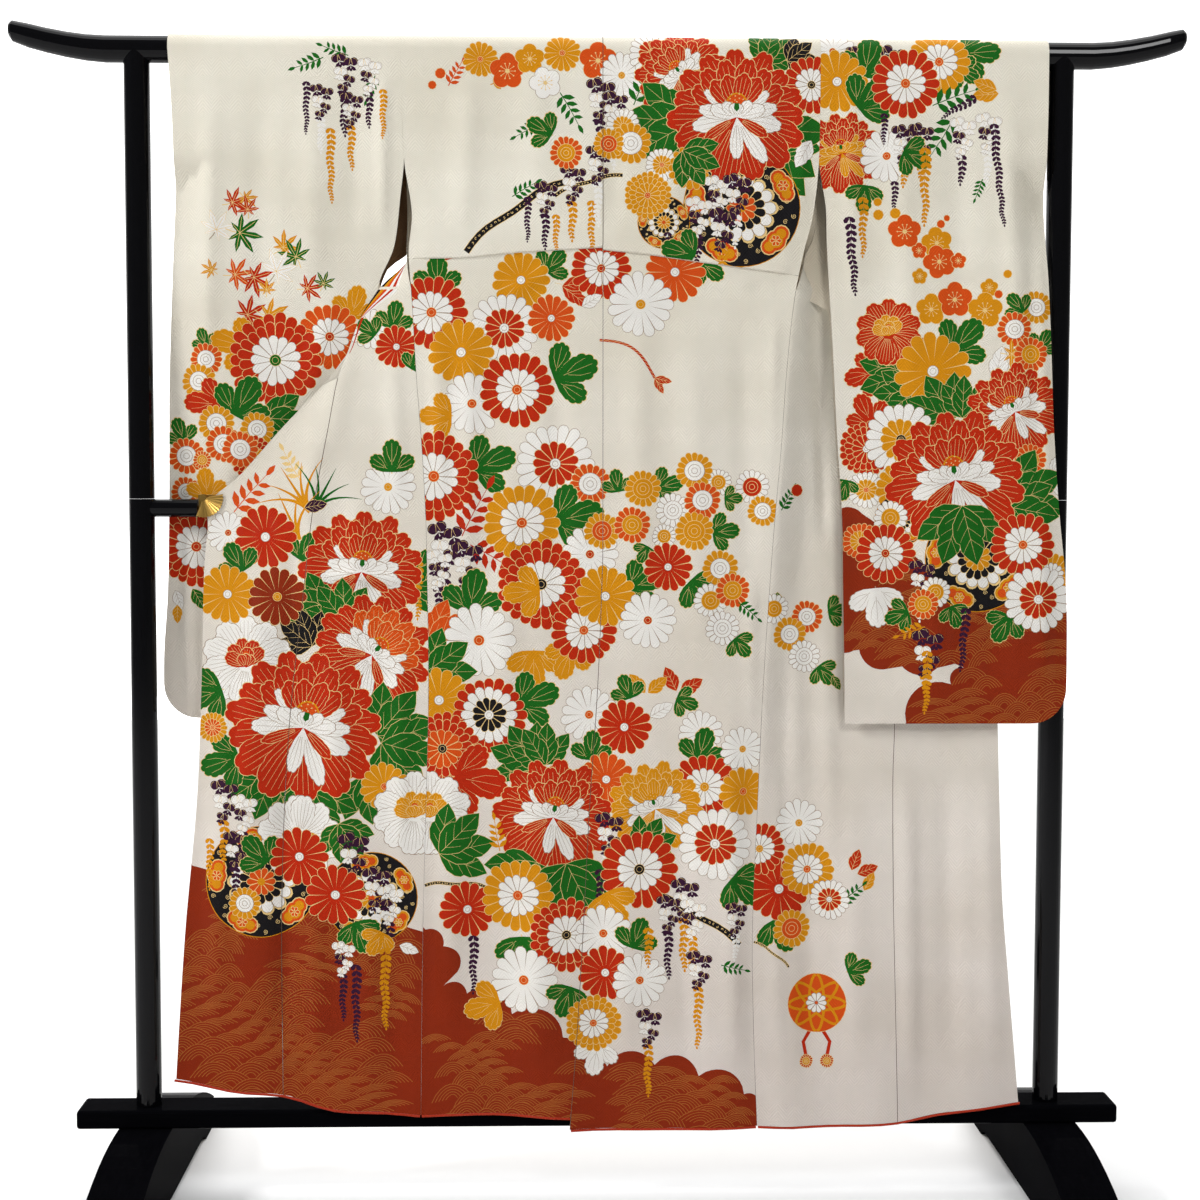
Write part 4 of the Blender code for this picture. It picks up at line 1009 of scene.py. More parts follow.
def sea(outline, seed=1.0):
    """The red ground of a bank, with rows of waves inside it."""
    xs, ys = [p[0] for p in outline], [p[1] for p in outline]
    shapes = [Shape(outline, "deep_red")]
    y, row = max(ys), 0
    while y > min(ys) - 0.02:
        x = min(xs) - 0.03 + 0.027 * (row % 3)
        while x < max(xs) + 0.03:
            chance = math.sin(12.9 * x + 7.3 * y * 3 + seed) + 0.6 * math.sin(41 * x - 23 * y + seed)
            width = 0.060 + 0.014 * math.sin(31 * x + 17 * y + seed)
            height = 0.017 + 0.006 * math.sin(23 * x + 40 * y)
            if chance > WAVE_CHANCE:
                lean = 0.22 * math.sin(9 * x + 14 * y + seed)
                wave = moved(hill(WAVE_LINE, width, height), x, y, 1.0, lean)
                if inside(outline, wave[0].points).all():
                    shapes += wave
            x += width * 0.80
        y -= WAVE_DROP
        row += 1
    return shapes


def signed_area(points):
    return sum(x0 * y1 - x1 * y0 for (x0, y0), (x1, y1) in
               zip(points, points[1:] + points[:1])) / 2


# Panels of silk. A patch holds the middle surface of a stretch of cloth: printed triangles for its
# outside and a plainer net for its inside, which share their border.

Patch = namedtuple("Patch", "outer outer_normals triangles colours inner inner_normals net linings")


def visible_lines(triangles, colours, count):
    """Edges between two colours, or at the border: from, to, the colour on the left and right."""
    start = triangles.reshape(-1)
    end = triangles[:, [1, 2, 0]].reshape(-1)
    left = np.repeat(colours, 3)
    key, mirror = start * count + end, end * count + start
    order = np.argsort(key)
    found = np.clip(np.searchsorted(key[order], mirror), 0, len(key) - 1)
    right = np.where(key[order][found] == mirror, left[order][found], -1)
    kept = (left != right) & ((right < 0) | (start < end))
    return np.stack([start[kept], end[kept], left[kept], right[kept]], 1)


def straightened(points, lines):
    """The same lines without the points that only cut a straight line in two."""
    places = points.tolist()
    arms = defaultdict(list)
    links = {}
    for a, b, left, right in lines.tolist():
        links[a, b] = (left, right)
        arms[a].append(b)
        arms[b].append(a)
    rim = {v for (a, b), (_, right) in links.items() if right < 0 for v in (a, b)}

    def link(a, b):
        return links[a, b] if (a, b) in links else links[b, a][::-1]

    for v in list(arms):
        if len(arms[v]) != 2 or v in rim:
            continue
        a, b = arms[v]
        if a == b or b in arms[a] or link(a, v) != link(v, b):
            continue
        ux, uy = places[v][0] - places[a][0], places[v][1] - places[a][1]
        wx, wy = places[b][0] - places[v][0], places[b][1] - places[v][1]
        size = math.hypot(ux, uy) * math.hypot(wx, wy)
        if abs(ux * wy - uy * wx) > BEND * size or ux * wx + uy * wy < 0:
            continue
        links[a, b] = link(a, v)
        for pair in ((a, v), (v, a), (v, b), (b, v)):
            links.pop(pair, None)
        arms[a][arms[a].index(v)] = b
        arms[b][arms[b].index(v)] = a
        del arms[v]
    return links


def extent(points):
    """Lowest and highest place across, and lowest and highest height."""
    xs, zs = zip(*points)
    return min(xs), max(xs), min(zs), max(zs)


def overlaid(loop, shapes, ground):
    """Shapes laid over each other in a closed loop: the points, the lines that show with the
    colours beside them, and the loop's own points."""
    first, last, low, high = extent(loop)
    points = [Vector(p) for p in loop]
    faces = [list(range(len(loop)))]
    colours = [PALETTE.index(ground)]
    for s in shapes:
        left, right, bottom, top = extent(s.points)
        if right < first or left > last or top < low or bottom > high:
            continue
        outline = s.points if signed_area(s.points) > 0 else s.points[::-1]
        faces.append(list(range(len(points), len(points) + len(outline))))
        points.extend(Vector(p) for p in outline)
        colours.append(PALETTE.index(s.colour))
    found, _, triangles, _, _, owners = delaunay_2d_cdt(points, [], faces, 0, NEAR, True)
    kept = [(triangle, colours[max(owner)]) for triangle, owner in zip(triangles, owners)
            if 0 in owner]
    flat = np.array([(p.x, p.y) for p in found])
    triangles = np.array([k[0] for k in kept])
    links = straightened(flat, visible_lines(triangles, np.array([k[1] for k in kept]), len(flat)))
    return found, links, border(triangles)[0]


def grid_points(loop, cell):
    """A grid over a loop, whose every other row is half a cell aside."""
    first, last, low, high = extent(loop)
    return [Vector((first + (i - 0.5 * (j % 2)) * cell, low + j * cell * ROW))
            for j in range(1, int((high - low) / (cell * ROW)) + 1)
            for i in range(int((last - first) / cell) + 2)]


def triangulated(loop, shapes, ground, creases, cell):
    """Triangles of a closed loop in its own plane, each with the colour of the topmost shape. Long
    lines are cut so that they bend with the cloth."""
    found, links, rim = overlaid(loop, shapes, ground)
    used = sorted({v for pair in links for v in pair} | set(rim))
    number = {v: i for i, v in enumerate(used)}
    points = [found[v] for v in used]
    edges, sides = [], []
    for (a, b), beside in links.items():
        inner = beside[1] >= 0
        parts = math.ceil((found[b] - found[a]).length / cell) if inner else 1
        chain = list(range(len(points), len(points) + parts - 1))
        points += [found[a].lerp(found[b], i / parts) for i in range(1, parts)]
        chain = [number[a]] + chain + [number[b]]
        edges += zip(chain, chain[1:])
        sides += [beside] * parts
    for path in creases:
        start = len(points)
        points.extend(Vector(p) for p in path)
        edges += [(start + i, start + i + 1) for i in range(len(path) - 1)]
    points += grid_points(loop, cell)
    found, pieces, triangles, _, sources, owners = delaunay_2d_cdt(
        points, edges, [[number[v] for v in rim]], 0, NEAR, True)
    triangles = [t for t, owner in zip(triangles, owners) if 0 in owner]
    seeds = {}
    for (a, b), source in zip(pieces, sources):
        for i in (i for i in source if i < len(sides)):
            left, right = sides[i]
            if (found[b] - found[a]).dot(points[edges[i][1]] - points[edges[i][0]]) < 0:
                left, right = right, left
            seeds[a, b], seeds[b, a] = left, right
    return (np.array([(p.x, p.y) for p in found]), np.array(triangles),
            filled(triangles, seeds, PALETTE.index(ground)))


def filled(triangles, seeds, ground):
    """Spreads the colours beside the lines to the triangles between them."""
    beside = {}
    for t, (a, b, c) in enumerate(triangles):
        beside[a, b] = beside[b, c] = beside[c, a] = t
    colours = [-1] * len(triangles)
    waiting = []
    for pair, colour in seeds.items():
        t = beside.get(pair)
        if t is not None and colours[t] < 0 <= colour:
            colours[t] = colour
            waiting.append(t)
    while waiting:
        t = waiting.pop()
        a, b, c = triangles[t]
        for pair in ((a, b), (b, c), (c, a)):
            if pair in seeds:
                continue
            other = beside.get(pair[::-1])
            if other is not None and colours[other] < 0:
                colours[other] = colours[t]
                waiting.append(other)
    return np.array([ground if colour < 0 else colour for colour in colours])


def border(triangles):
    """Loops of vertex numbers round a net, each in the net's own direction."""
    edges = np.concatenate([triangles[:, [0, 1]], triangles[:, [1, 2]], triangles[:, [2, 0]]])
    pairs = set(map(tuple, edges.tolist()))
    following = defaultdict(list)
    for a, b in sorted(pairs):
        if (b, a) not in pairs:
            following[a].append(b)
    loops = []
    for start in list(following):
        while following[start]:
            loop = [start]
            after = following[start].pop()
            while after != start and following[after]:
                loop.append(after)
                after = following[after].pop()
            loops.append(loop)
    return sorted(loops, key=len, reverse=True)


def normals_of(place, points):
    """The directions that the laid cloth faces at points of its own plane."""
    along = place(points + (STEP, 0.0)) - place(points - (STEP, 0.0))
    up = place(points + (0.0, STEP)) - place(points - (0.0, STEP))
    normals = np.cross(along, up)
    return normals / np.linalg.norm(normals, axis=1, keepdims=True)


def printed(outline, shapes, place, flip=False, creases=(), dark=(), lining_place=None):
    """A printed patch. `flip` turns its printed side to the rear. `dark` holds shapes printed on its
    lining, such as a painted shade.
    """
    loop = [tuple(p) for p in outline]
    if signed_area(loop) < 0:
        loop = loop[::-1]
    flat, triangles, colours = triangulated(loop, shapes, "ivory", creases, CELL)
    rim = [tuple(flat[i]) for i in border(triangles)[0]]
    inner_flat, net, linings = triangulated(rim, dark, "lining", (), LINING_CELL)
    facing = -1.0 if flip else 1.0
    if flip:
        triangles = triangles[:, ::-1]
        net = net[:, ::-1]
    lining_place = lining_place or place
    return Patch(place(flat), facing * normals_of(place, flat), triangles, colours,
                 lining_place(inner_flat), facing * normals_of(lining_place, inner_flat), net,
                 linings)


def grid_patch(rows, flip, colour_at):
    """A patch from rows of points."""
    net = np.array(rows)
    count = net.shape[1]
    triangles, colours = [], []
    for j in range(net.shape[0] - 1):
        for i in range(count - 1):
            a, b = j * count + i, j * count + i + 1
            triangles += [(a, b, b + count), (a, b + count, a + count)]
            colours += [PALETTE.index(colour_at(j, i))] * 2
    triangles = np.array(triangles)
    if flip:
        triangles = triangles[:, ::-1]
    places = net.reshape(-1, 3)
    a, b, c = (places[triangles[:, k]] for k in range(3))
    facing = np.cross(b - a, c - a)
    normals = np.zeros(places.shape)
    for k in range(3):
        np.add.at(normals, triangles[:, k], facing)
    normals /= np.maximum(np.linalg.norm(normals, axis=1, keepdims=True), 1e-12)
    linings = np.full(len(triangles), LINING)
    return Patch(places, normals, triangles, np.array(colours), places, normals, triangles, linings)


def welded(places, normals, triangles):
    """Vertices at one place made one, and what triangles and colours are left."""
    keys = np.round(places / WELD).astype(np.int64)
    _, first, number = np.unique(keys, axis=0, return_index=True, return_inverse=True)
    number = number.reshape(-1)
    summed = np.zeros((len(first), 3))
    np.add.at(summed, number, normals)
    summed /= np.maximum(np.linalg.norm(summed, axis=1, keepdims=True), 1e-12)
    triangles = number[triangles]
    whole = ((triangles[:, 0] != triangles[:, 1]) & (triangles[:, 1] != triangles[:, 2])
             & (triangles[:, 2] != triangles[:, 0]))
    used, renumbered = np.unique(triangles[whole], return_inverse=True)
    return places[first][used], summed[used], renumbered.reshape(-1, 3), whole


def side_of(patches, places, normals, net):
    """One side of several patches as a single net."""
    starts = np.cumsum([0] + [len(getattr(p, places)) for p in patches])
    return welded(np.concatenate([getattr(p, places) for p in patches]),
                  np.concatenate([getattr(p, normals) for p in patches]),
                  np.concatenate([getattr(p, net) + s for p, s in zip(patches, starts)]))


def in_scene(name, data):
    obj = bpy.data.objects.new(name, data)
    bpy.context.scene.collection.objects.link(obj)
    return obj


def shell(name, patches):
    """A closed thin shell: the print outside, the lining inside, and an edge between them."""
    outer, outer_normals, triangles, whole = side_of(patches, "outer", "outer_normals", "triangles")
    colours = np.concatenate([p.colours for p in patches])[whole]
    inner, inner_normals, net, whole = side_of(patches, "inner", "inner_normals", "net")
    linings = np.concatenate([p.linings for p in patches])[whole]
    count = len(outer)
    tree = KDTree(len(inner))
    for i, place in enumerate(inner.tolist()):
        tree.insert(place, i)
    tree.balance()
    rims = []
    for loop in border(triangles):
        below = [tree.find(outer[i])[1] + count for i in loop]
        for k, a in enumerate(loop):
            b = loop[(k + 1) % len(loop)]
            under_a, under_b = below[k], below[(k + 1) % len(loop)]
            rims.append((b, a, under_a))
            if under_a != under_b:
                rims.append((b, under_a, under_b))
    faces = np.concatenate([triangles, net[:, ::-1] + count, np.array(rims)])
    mesh = bpy.data.meshes.new(name)
    mesh.from_pydata(np.concatenate([outer + outer_normals * SILK / 2,
                                     inner - inner_normals * SILK / 2]).tolist(),
                     [], faces.tolist())
    slots = np.concatenate([colours, linings, np.full(len(rims), EDGE)])
    for colour in PALETTE:
        mesh.materials.append(SILKS[colour])
    mesh.polygons.foreach_set("material_index", slots.astype(np.int32))
    mesh.shade_smooth()
    mesh.update()
    mesh.normals_split_custom_set_from_vertices(
        np.concatenate([outer_normals, -inner_normals]).tolist())
    return in_scene(name, mesh)


# Materials

def tree_of(name):
    """A new material, its node tree and its shader."""
    material = bpy.data.materials.new(name)
    material.use_nodes = True
    tree = material.node_tree
    return material, tree, tree.nodes["Principled BSDF"]


def math_node(tree, operation, first, second=None):
    node = tree.nodes.new("ShaderNodeMath")
    node.operation = operation
    for socket, value in zip(node.inputs, (first, second)):
        if value is None:
            continue
        if isinstance(value, (int, float)):
            socket.default_value = value
        else:
            tree.links.new(value, socket)
    return node.outputs[0]


def ramp(tree, value, low, high, places=(0.0, 1.0)):
    """A colour from low to high along a value."""
    node = tree.nodes.new("ShaderNodeValToRGB")
    for element, place, colour in zip(node.color_ramp.elements, places, (low, high)):
        element.position = place
        element.color = (*colour, 1)
    tree.links.new(value, node.inputs["Fac"])
    return node.outputs["Color"]


def finished(node, settings):
    for name, value in settings.items():
        node.inputs[name].default_value = value


def figured_weave(tree):
    """Height of the figured silk: close slanting rows that swing to and fro in bands."""
    place = tree.nodes.new("ShaderNodeTexCoord")
    split = tree.nodes.new("ShaderNodeSeparateXYZ")
    tree.links.new(place.outputs["Object"], split.inputs[0])
    x, z = split.outputs["X"], split.outputs["Z"]
    swing = math_node(tree, "PINGPONG", math_node(tree, "ADD", x, WEAVE_START), WEAVE_SWING)
    block = math_node(tree, "PINGPONG", math_node(tree, "ADD", z, WEAVE_START), WEAVE_BAND)
    slant = math_node(tree, "ADD", math_node(tree, "MULTIPLY", swing, WEAVE_SLANTS[0]),
                      math_node(tree, "MULTIPLY", block, WEAVE_SLANTS[1]))
    rows = math_node(tree, "MULTIPLY", math_node(tree, "ADD", z, slant), 2 * math.pi / WEAVE_ROW)
    return math_node(tree, "SINE", rows)


def silk_material(name, colour):
    """Figured silk, smooth and softly shining. The pale silk turns a little pinker downwards, its own
    tint, and a little darker, a painted shade.
    """
    material, tree, shader = tree_of("silk_" + name)
    place = tree.nodes.new("ShaderNodeTexCoord")
    noise = tree.nodes.new("ShaderNodeTexNoise")
    finished(noise, CLOUDS)
    tree.links.new(place.outputs["Object"], noise.inputs["Vector"])
    pale = name in ("ivory", "lining")
    low, high = CLOUD_SHADES
    dark = [c * (low - warmth * pale) for c, warmth in zip(colour, CLOUD_WARMTH)]
    light = [min(c * high, BRIGHTEST) for c in colour]
    base = ramp(tree, noise.outputs["Fac"], dark, light, CLOUD_PLACES)
    height = figured_weave(tree)
    level = tree.nodes.new("ShaderNodeMapRange")
    finished(level, WEAVE_SHADES)
    tree.links.new(height, level.inputs["Value"])
    base = mixed(tree, base, level.outputs["Result"])
    if pale:
        # pinker towards the floor, the silk's own tint, and darker, a painted shade
        split = tree.nodes.new("ShaderNodeSeparateXYZ")
        tree.links.new(place.outputs["Object"], split.inputs[0])
        share = math_node(tree, "DIVIDE", split.outputs["Z"], PALE_HEIGHT)
        base = mixed(tree, base, ramp(tree, share, PALE_LOW, PALE_HIGH, PALE_PLACES))
    tree.links.new(base, shader.inputs["Base Color"])
    bump = tree.nodes.new("ShaderNodeBump")
    finished(bump, WEAVE_RELIEF)
    tree.links.new(height, bump.inputs["Height"])
    tree.links.new(bump.outputs["Normal"], shader.inputs["Normal"])
    finished(shader, SILK_FINISH)
    return material


def mixed(tree, first, second):
    """The product of two colours."""
    node = tree.nodes.new("ShaderNodeMix")
    node.data_type = "RGBA"
    node.blend_type = "MULTIPLY"
    node.inputs[0].default_value = 1.0
    tree.links.new(first, node.inputs[6])
    tree.links.new(second, node.inputs[7])
    return node.outputs[2]


def noisy_material(name, grain, settings):
    """A material whose colour wanders between two."""
    material, tree, shader = tree_of(name)
    scale, first, second = grain
    noise = tree.nodes.new("ShaderNodeTexNoise")
    noise.inputs["Scale"].default_value = scale
    tree.links.new(ramp(tree, noise.outputs["Fac"], first, second), shader.inputs["Base Color"])
    finished(shader, settings)
    return material


SILKS = {name: silk_material(name, colour) for name, colour in COLOURS.items()}
BRIGHT_LACQUER = noisy_material("black_lacquer", LACQUER_GRAIN, BRIGHT_FINISH)
DULL_LACQUER = noisy_material("black_lacquer_foot", LACQUER_GRAIN, DULL_FINISH)
BRASS = noisy_material("gold_finish", BRASS_GRAIN, BRASS_FINISH)


# The print

KINDS = {
    "mum": chrysanthemum, "double": double_flower, "daisy": daisy, "button": button,
    "peony": peony, "bloom": white_peony, "leaves": leaves, "foliage": foliage, "sprig": sprig,
    "maple": maple, "plum": plum, "wisteria": wisteria, "raceme": raceme, "grass": grass,
    "roundel": roundel, "branch": branch, "cord": cord, "ball": ball, "leaf": pointed,
    "bud": bud, "rosette": rosette,
}
GROWTH = {"foliage": 1.22, "leaves": 1.16, "maple": 1.32, "sprig": 1.10}
Motif = namedtuple("Motif", "kind x z size colours turn", defaults=(0,))

# Cloud banks: corners, and which of the sides that follow them bulge.
LEFT_BANK = ([
    (-0.678, 0.514), (-0.615, 0.517), (-0.528, 0.495), (-0.258, 0.415), (-0.259, 0.063),
    (-0.683, 0.066),
], (0,))
LOW_BANK = ([
    (-0.279, 0.437), (-0.264, 0.421), (-0.237, 0.397), (-0.216, 0.358), (-0.237, 0.337),
    (-0.202, 0.324), (-0.134, 0.292), (-0.057, 0.257), (-0.000, 0.248), (-0.000, 0.061),
    (-0.281, 0.063),
], (1, 2, 4, 5, 6))
RIGHT_BANK = ([
    (-0.002, 0.214), (0.010, 0.210), (0.082, 0.213), (0.149, 0.196), (0.218, 0.167),
    (0.240, 0.147), (0.254, 0.060), (-0.002, 0.062),
], (0, 1, 2, 3, 4))
SLEEVE_BANK = ([
    (0.343, 1.036), (0.391, 1.048), (0.426, 1.024), (0.494, 0.964), (0.601, 0.913), (0.729, 0.949),
    (0.733, 0.691), (0.437, 0.692), (0.461, 0.733), (0.527, 0.792), (0.547, 0.817), (0.514, 0.830),
    (0.449, 0.824), (0.387, 0.849), (0.344, 0.858),
], (0, 8, 9, 11, 12, 13))

# Motifs from the lowest layer to the topmost: kind, place, radius, colours, and turn in degrees.
LEFT_SLEEVE_PRINT = [
    ("sprig", -0.411, 1.719, 0.0393, "green", 200),
    ("sprig", -0.374, 1.722, 0.0362, "green", 160),
    ("sprig", -0.335, 1.693, 0.0332, "green", 250),
    ("wisteria", -0.381, 1.716, 0.0136, "purple purple 7"),
    ("wisteria", -0.415, 1.672, 0.0121, "purple white 6"),
    ("wisteria", -0.371, 1.661, 0.0121, "purple gold 8"),
    ("wisteria", -0.344, 1.710, 0.0121, "white purple 6"),
    ("raceme", -0.401, 1.616, 0.0106, "gold 13"),
    ("raceme", -0.436, 1.684, 0.0091, "purple 10"),
    ("raceme", -0.323, 1.673, 0.0091, "gold 9"),
    ("maple", -0.547, 1.507, 0.0196, "red", 20),
    ("maple", -0.528, 1.514, 0.0151, "gold", -40),
    ("maple", -0.525, 1.497, 0.0166, "red", 100),
    ("maple", -0.571, 1.467, 0.0226, "white", 60),
    ("maple", -0.537, 1.463, 0.0272, "green", -10),
    ("maple", -0.473, 1.442, 0.0211, "gold", 40),
    ("maple", -0.454, 1.428, 0.0226, "green", 120),
    ("maple", -0.579, 1.408, 0.0136, "gold", 150),
    ("maple", -0.484, 1.407, 0.0257, "white", 60),
    ("maple", -0.545, 1.402, 0.0226, "orange", 10),
    ("maple", -0.518, 1.398, 0.0242, "red", -30),
    ("maple", -0.499, 1.380, 0.0136, "gold", 90),
    ("maple", -0.438, 1.382, 0.0196, "red", 10),
    ("maple", -0.414, 1.389, 0.0151, "green", 70),
    ("maple", -0.528, 1.343, 0.0242, "red", 30),
    ("maple", -0.498, 1.341, 0.0272, "gold", -20),
    ("leaves", -0.373, 1.339, 0.0423, "gold", 75),
    ("leaves", -0.589, 1.295, 0.0257, "green", 110),
    ("leaves", -0.525, 1.294, 0.0513, "gold", 165),
    ("mum", -0.406, 1.311, 0.0483, "orange white red"),
    ("double", -0.488, 1.276, 0.0695, "red white green"),
    ("button", -0.591, 1.277, 0.0242, "orange white"),
    ("button", -0.603, 1.245, 0.0257, "gold white"),
    ("leaves", -0.571, 1.210, 0.0483, "red", 175),
    ("foliage", -0.508, 1.190, 0.0604, "green", -20),
    ("leaves", -0.550, 1.193, 0.0574, "green", 60),
    ("button", -0.517, 1.173, 0.0257, "gold white"),
    ("button", -0.578, 1.182, 0.0272, "gold white"),
    ("button", -0.568, 1.151, 0.0272, "orange white"),
    ("leaves", -0.628, 1.154, 0.0332, "green", 110),
    ("button", -0.625, 1.133, 0.0272, "orange white"),
    ("double", -0.524, 1.130, 0.0332, "red gold"),
    ("button", -0.543, 1.143, 0.0272, "orange white"),
    ("button", -0.601, 1.127, 0.0136, "orange gold"),
    ("button", -0.627, 1.079, 0.0226, "orange white"),
    ("leaves", -0.594, 1.070, 0.0393, "gold", 95),
    ("leaf", -0.618, 0.932, 0.0362, "green", -60),
    ("leaf", -0.645, 0.929, 0.0302, "white", -70),
    ("leaf", -0.642, 0.907, 0.0272, "gold", -90),
    ("double", -0.612, 0.996, 0.0604, "red white red"),
]
LEFT_PRINT = [
    ("daisy", -0.346, 1.322, 0.0302, "white red"),
    ("leaves", -0.311, 1.322, 0.0363, "green", 80),
    ("leaves", -0.336, 1.312, 0.0302, "green", 140),
    ("daisy", -0.305, 1.295, 0.0317, "red white"),
    ("leaves", -0.282, 1.261, 0.0302, "green", 60),
    ("sprig", -0.449, 1.097, 0.0453, "pale_gold", 120),
    ("grass", -0.434, 1.050, 0.0695, "gold", 34),
    ("grass", -0.430, 1.050, 0.0634, "green", -28),
    ("grass", -0.450, 1.008, 0.0664, "gold", 25),
    ("leaf", -0.442, 1.056, 0.0332, "purple", 10),
    ("daisy", -0.318, 1.087, 0.0408, "white gold"),
    ("leaves", -0.312, 1.109, 0.0423, "green", 90),
    ("sprig", -0.550, 1.049, 0.0664, "orange", 48),
    ("daisy", -0.559, 1.018, 0.0317, "white red"),
    ("leaves", -0.450, 0.978, 0.0393, "green", 60),
    ("daisy", -0.502, 1.012, 0.0468, "red white"),
    ("leaves", -0.536, 0.960, 0.0423, "green", 120),
    ("foliage", -0.283, 0.933, 0.0604, "green", 20),
    ("raceme", -0.274, 0.978, 0.0121, "gold 8"),
    ("peony", -0.358, 0.960, 0.0936, "red white", -5),
    ("foliage", -0.406, 0.900, 0.0634, "green", 170),
    ("foliage", -0.383, 0.885, 0.0574, "green", 110),
    ("foliage", -0.433, 0.849, 0.0513, "black", 125),
    ("bloom", -0.531, 0.825, 0.0695, "white red"),
    ("daisy", -0.560, 0.926, 0.0438, "gold white"),
    ("daisy", -0.484, 0.923, 0.0438, "deep_red gold"),
    ("peony", -0.343, 0.836, 0.0906, "red white orange orange", -42),
    ("leaves", -0.568, 0.783, 0.0513, "green", 200),
    ("foliage", -0.335, 0.715, 0.0755, "green", 32),
    ("foliage", -0.329, 0.704, 0.0815, "green", -32),
    ("foliage", -0.359, 0.653, 0.0634, "green", -60),
    ("foliage", -0.490, 0.665, 0.0695, "green", 232),
    ("foliage", -0.434, 0.639, 0.0725, "green", -80),
    ("leaves", -0.542, 0.684, 0.0544, "green", 200),
    ("peony", -0.446, 0.727, 0.1178, "red white", -16),
    ("mum", -0.583, 0.726, 0.0226, "gold orange"),
    ("roundel", -0.510, 0.495, 0.0846, "black orange gold"),
    ("roundel", -0.345, 0.470, 0.0695, "black gold orange"),
    ("bloom", -0.453, 0.562, 0.0634, "white gold", 180),
    ("wisteria", -0.566, 0.638, 0.0151, "purple gold 6"),
    ("wisteria", -0.536, 0.617, 0.0136, "white purple 6"),
    ("wisteria", -0.549, 0.562, 0.0136, "purple purple 6"),
    ("daisy", -0.325, 0.638, 0.0362, "gold orange"),
    ("leaves", -0.501, 0.523, 0.0453, "green", 130),
    ("bloom", -0.280, 0.598, 0.0634, "white gold"),
    ("foliage", -0.393, 0.583, 0.0513, "green", -70),
    ("daisy", -0.453, 0.532, 0.0438, "red white"),
    ("wisteria", -0.373, 0.559, 0.0166, "purple gold 5"),
    ("wisteria", -0.339, 0.507, 0.0151, "purple white 4"),
    ("wisteria", -0.318, 0.479, 0.0136, "white purple 4"),
    ("daisy", -0.399, 0.475, 0.0453, "red white"),
    ("leaves", -0.370, 0.434, 0.0423, "green", -70),
    ("leaves", -0.329, 0.418, 0.0332, "gold", -120),
    ("wisteria", -0.388, 0.396, 0.0121, "white purple 9"),
    ("raceme", -0.368, 0.370, 0.0121, "purple 12"),
    ("raceme", -0.325, 0.394, 0.0128, "gold 12"),
    ("raceme", -0.588, 0.559, 0.0106, "gold 8"),
    ("leaf", -0.303, 0.397, 0.0302, "white", -20),
    ("button", -0.535, 0.462, 0.0242, "gold white"),
]
